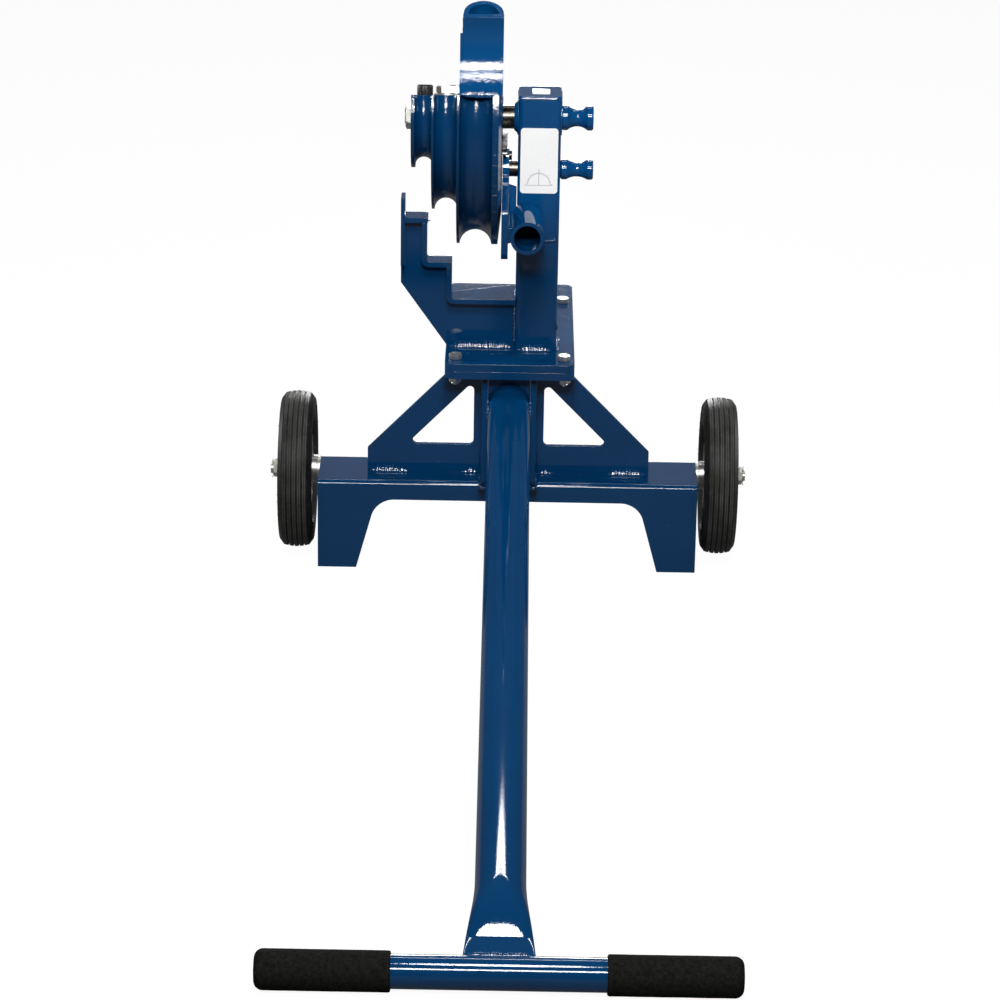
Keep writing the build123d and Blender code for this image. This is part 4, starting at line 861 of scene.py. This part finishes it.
def panel(name, centre, target, width, height, radiance, shape="RECTANGLE"):
    """A soft box that faces its target."""
    light = bpy.data.lights.new(name, "AREA")
    light.shape = shape
    light.size = width
    light.size_y = height
    share = math.pi / 4 if shape == "ELLIPSE" else 1.0
    light.energy = radiance * math.pi * width * height * share
    aim(light, centre, target)


def spot(name, centre, target, cone, radius, watts, blend):
    """A lamp with a soft-edged cone."""
    light = bpy.data.lights.new(name, "SPOT")
    light.spot_size = math.radians(cone)
    light.spot_blend = blend
    light.shadow_soft_size = radius
    light.energy = watts
    aim(light, centre, target)


def world():
    """A dim grey wall behind the object, and dark grey overhead and all round."""
    sky = bpy.data.worlds.new("studio")
    sky.use_nodes = True
    tree = sky.node_tree
    tree.nodes.clear()
    out = tree.nodes.new("ShaderNodeOutputWorld")
    back = tree.nodes.new("ShaderNodeBackground")
    split = tree.nodes.new("ShaderNodeSeparateXYZ")
    tree.links.new(tree.nodes.new("ShaderNodeTexCoord").outputs["Generated"], split.inputs[0])
    heights = [(0.0, grey(0.28)), (0.45, grey(0.25)), (0.6, grey(0.1)), (1.0, grey(0.07))]
    wall = ramp(tree, split.outputs["Z"], heights)
    behind = remap(tree, split.outputs["Y"], -0.1, 0.35, 0, 1)
    across = math_node(tree, "ABSOLUTE", split.outputs["X"])
    narrow = math_node(tree, "MULTIPLY", behind, remap(tree, across, 0.2, 0.42, 1, 0))
    tone = mix_colour(tree, narrow, grey(0.055), wall)
    tree.links.new(tone, back.inputs["Color"])
    tree.links.new(back.outputs[0], out.inputs["Surface"])
    back.inputs["Strength"].default_value = 1.0
    bpy.context.scene.world = sky


# The camera as solved from the photo: sensor and lens in millimetres, turns in degrees, place in metres
SENSOR, LENS, YAW, PITCH, ROLL = 36.0, 128.39, 0.14, 21.21, 0.94
CAMERA_AT = (0.00094, -3.668485, 1.66502)


def camera():
    """The photo's camera."""
    data = bpy.data.cameras.new("camera")
    data.sensor_width = SENSOR
    data.lens = LENS
    data.clip_end = 200.0
    obj = bpy.data.objects.new("camera", data)
    turn = Matrix.Rotation(math.radians(YAW), 4, "Z") @ Matrix.Rotation(math.radians(90 - PITCH), 4, "X")
    roll = Matrix.Rotation(math.radians(ROLL), 4, "Z")
    obj.matrix_world = Matrix.Translation(CAMERA_AT) @ turn @ roll
    bpy.context.scene.collection.objects.link(obj)
    bpy.context.scene.camera = obj


bpy.context.scene.view_settings.view_transform = "Standard"
floor()
world()
FRONT_LAMP = (-0.03, -3.2, 2.75)
MIDDLE = (0.0, 0.35, 0.33)
panel("back_box", (0.0, 2.25, 3.03), (0.0, -0.5, 0.1), width=2.6, height=0.14, radiance=24.0, shape="ELLIPSE")
panel("top_box", (0.0, -1.0, 2.14), (0.0, -0.3, 0.2), width=0.30, height=0.50, radiance=40.0, shape="ELLIPSE")
panel("front_box", FRONT_LAMP, (0.0, 0.2, 0.3), width=1.0, height=0.5, radiance=38.0)
spot("head_spot", FRONT_LAMP, (-0.005, 0.42, 0.583), cone=3.9, radius=0.04, watts=380.0, blend=0.15)
for word, side in (("left", -1), ("right", 1)):
    spot(word + "_fill", (side * 3.0, 1.6, 0.9), MIDDLE, cone=28.0, radius=0.3, watts=230.0, blend=0.8)
spot("rear_fill", (0.0, 3.4, 0.75), (0.0, 0.45, 0.33), cone=30.0, radius=0.3, watts=130.0, blend=0.8)
camera()
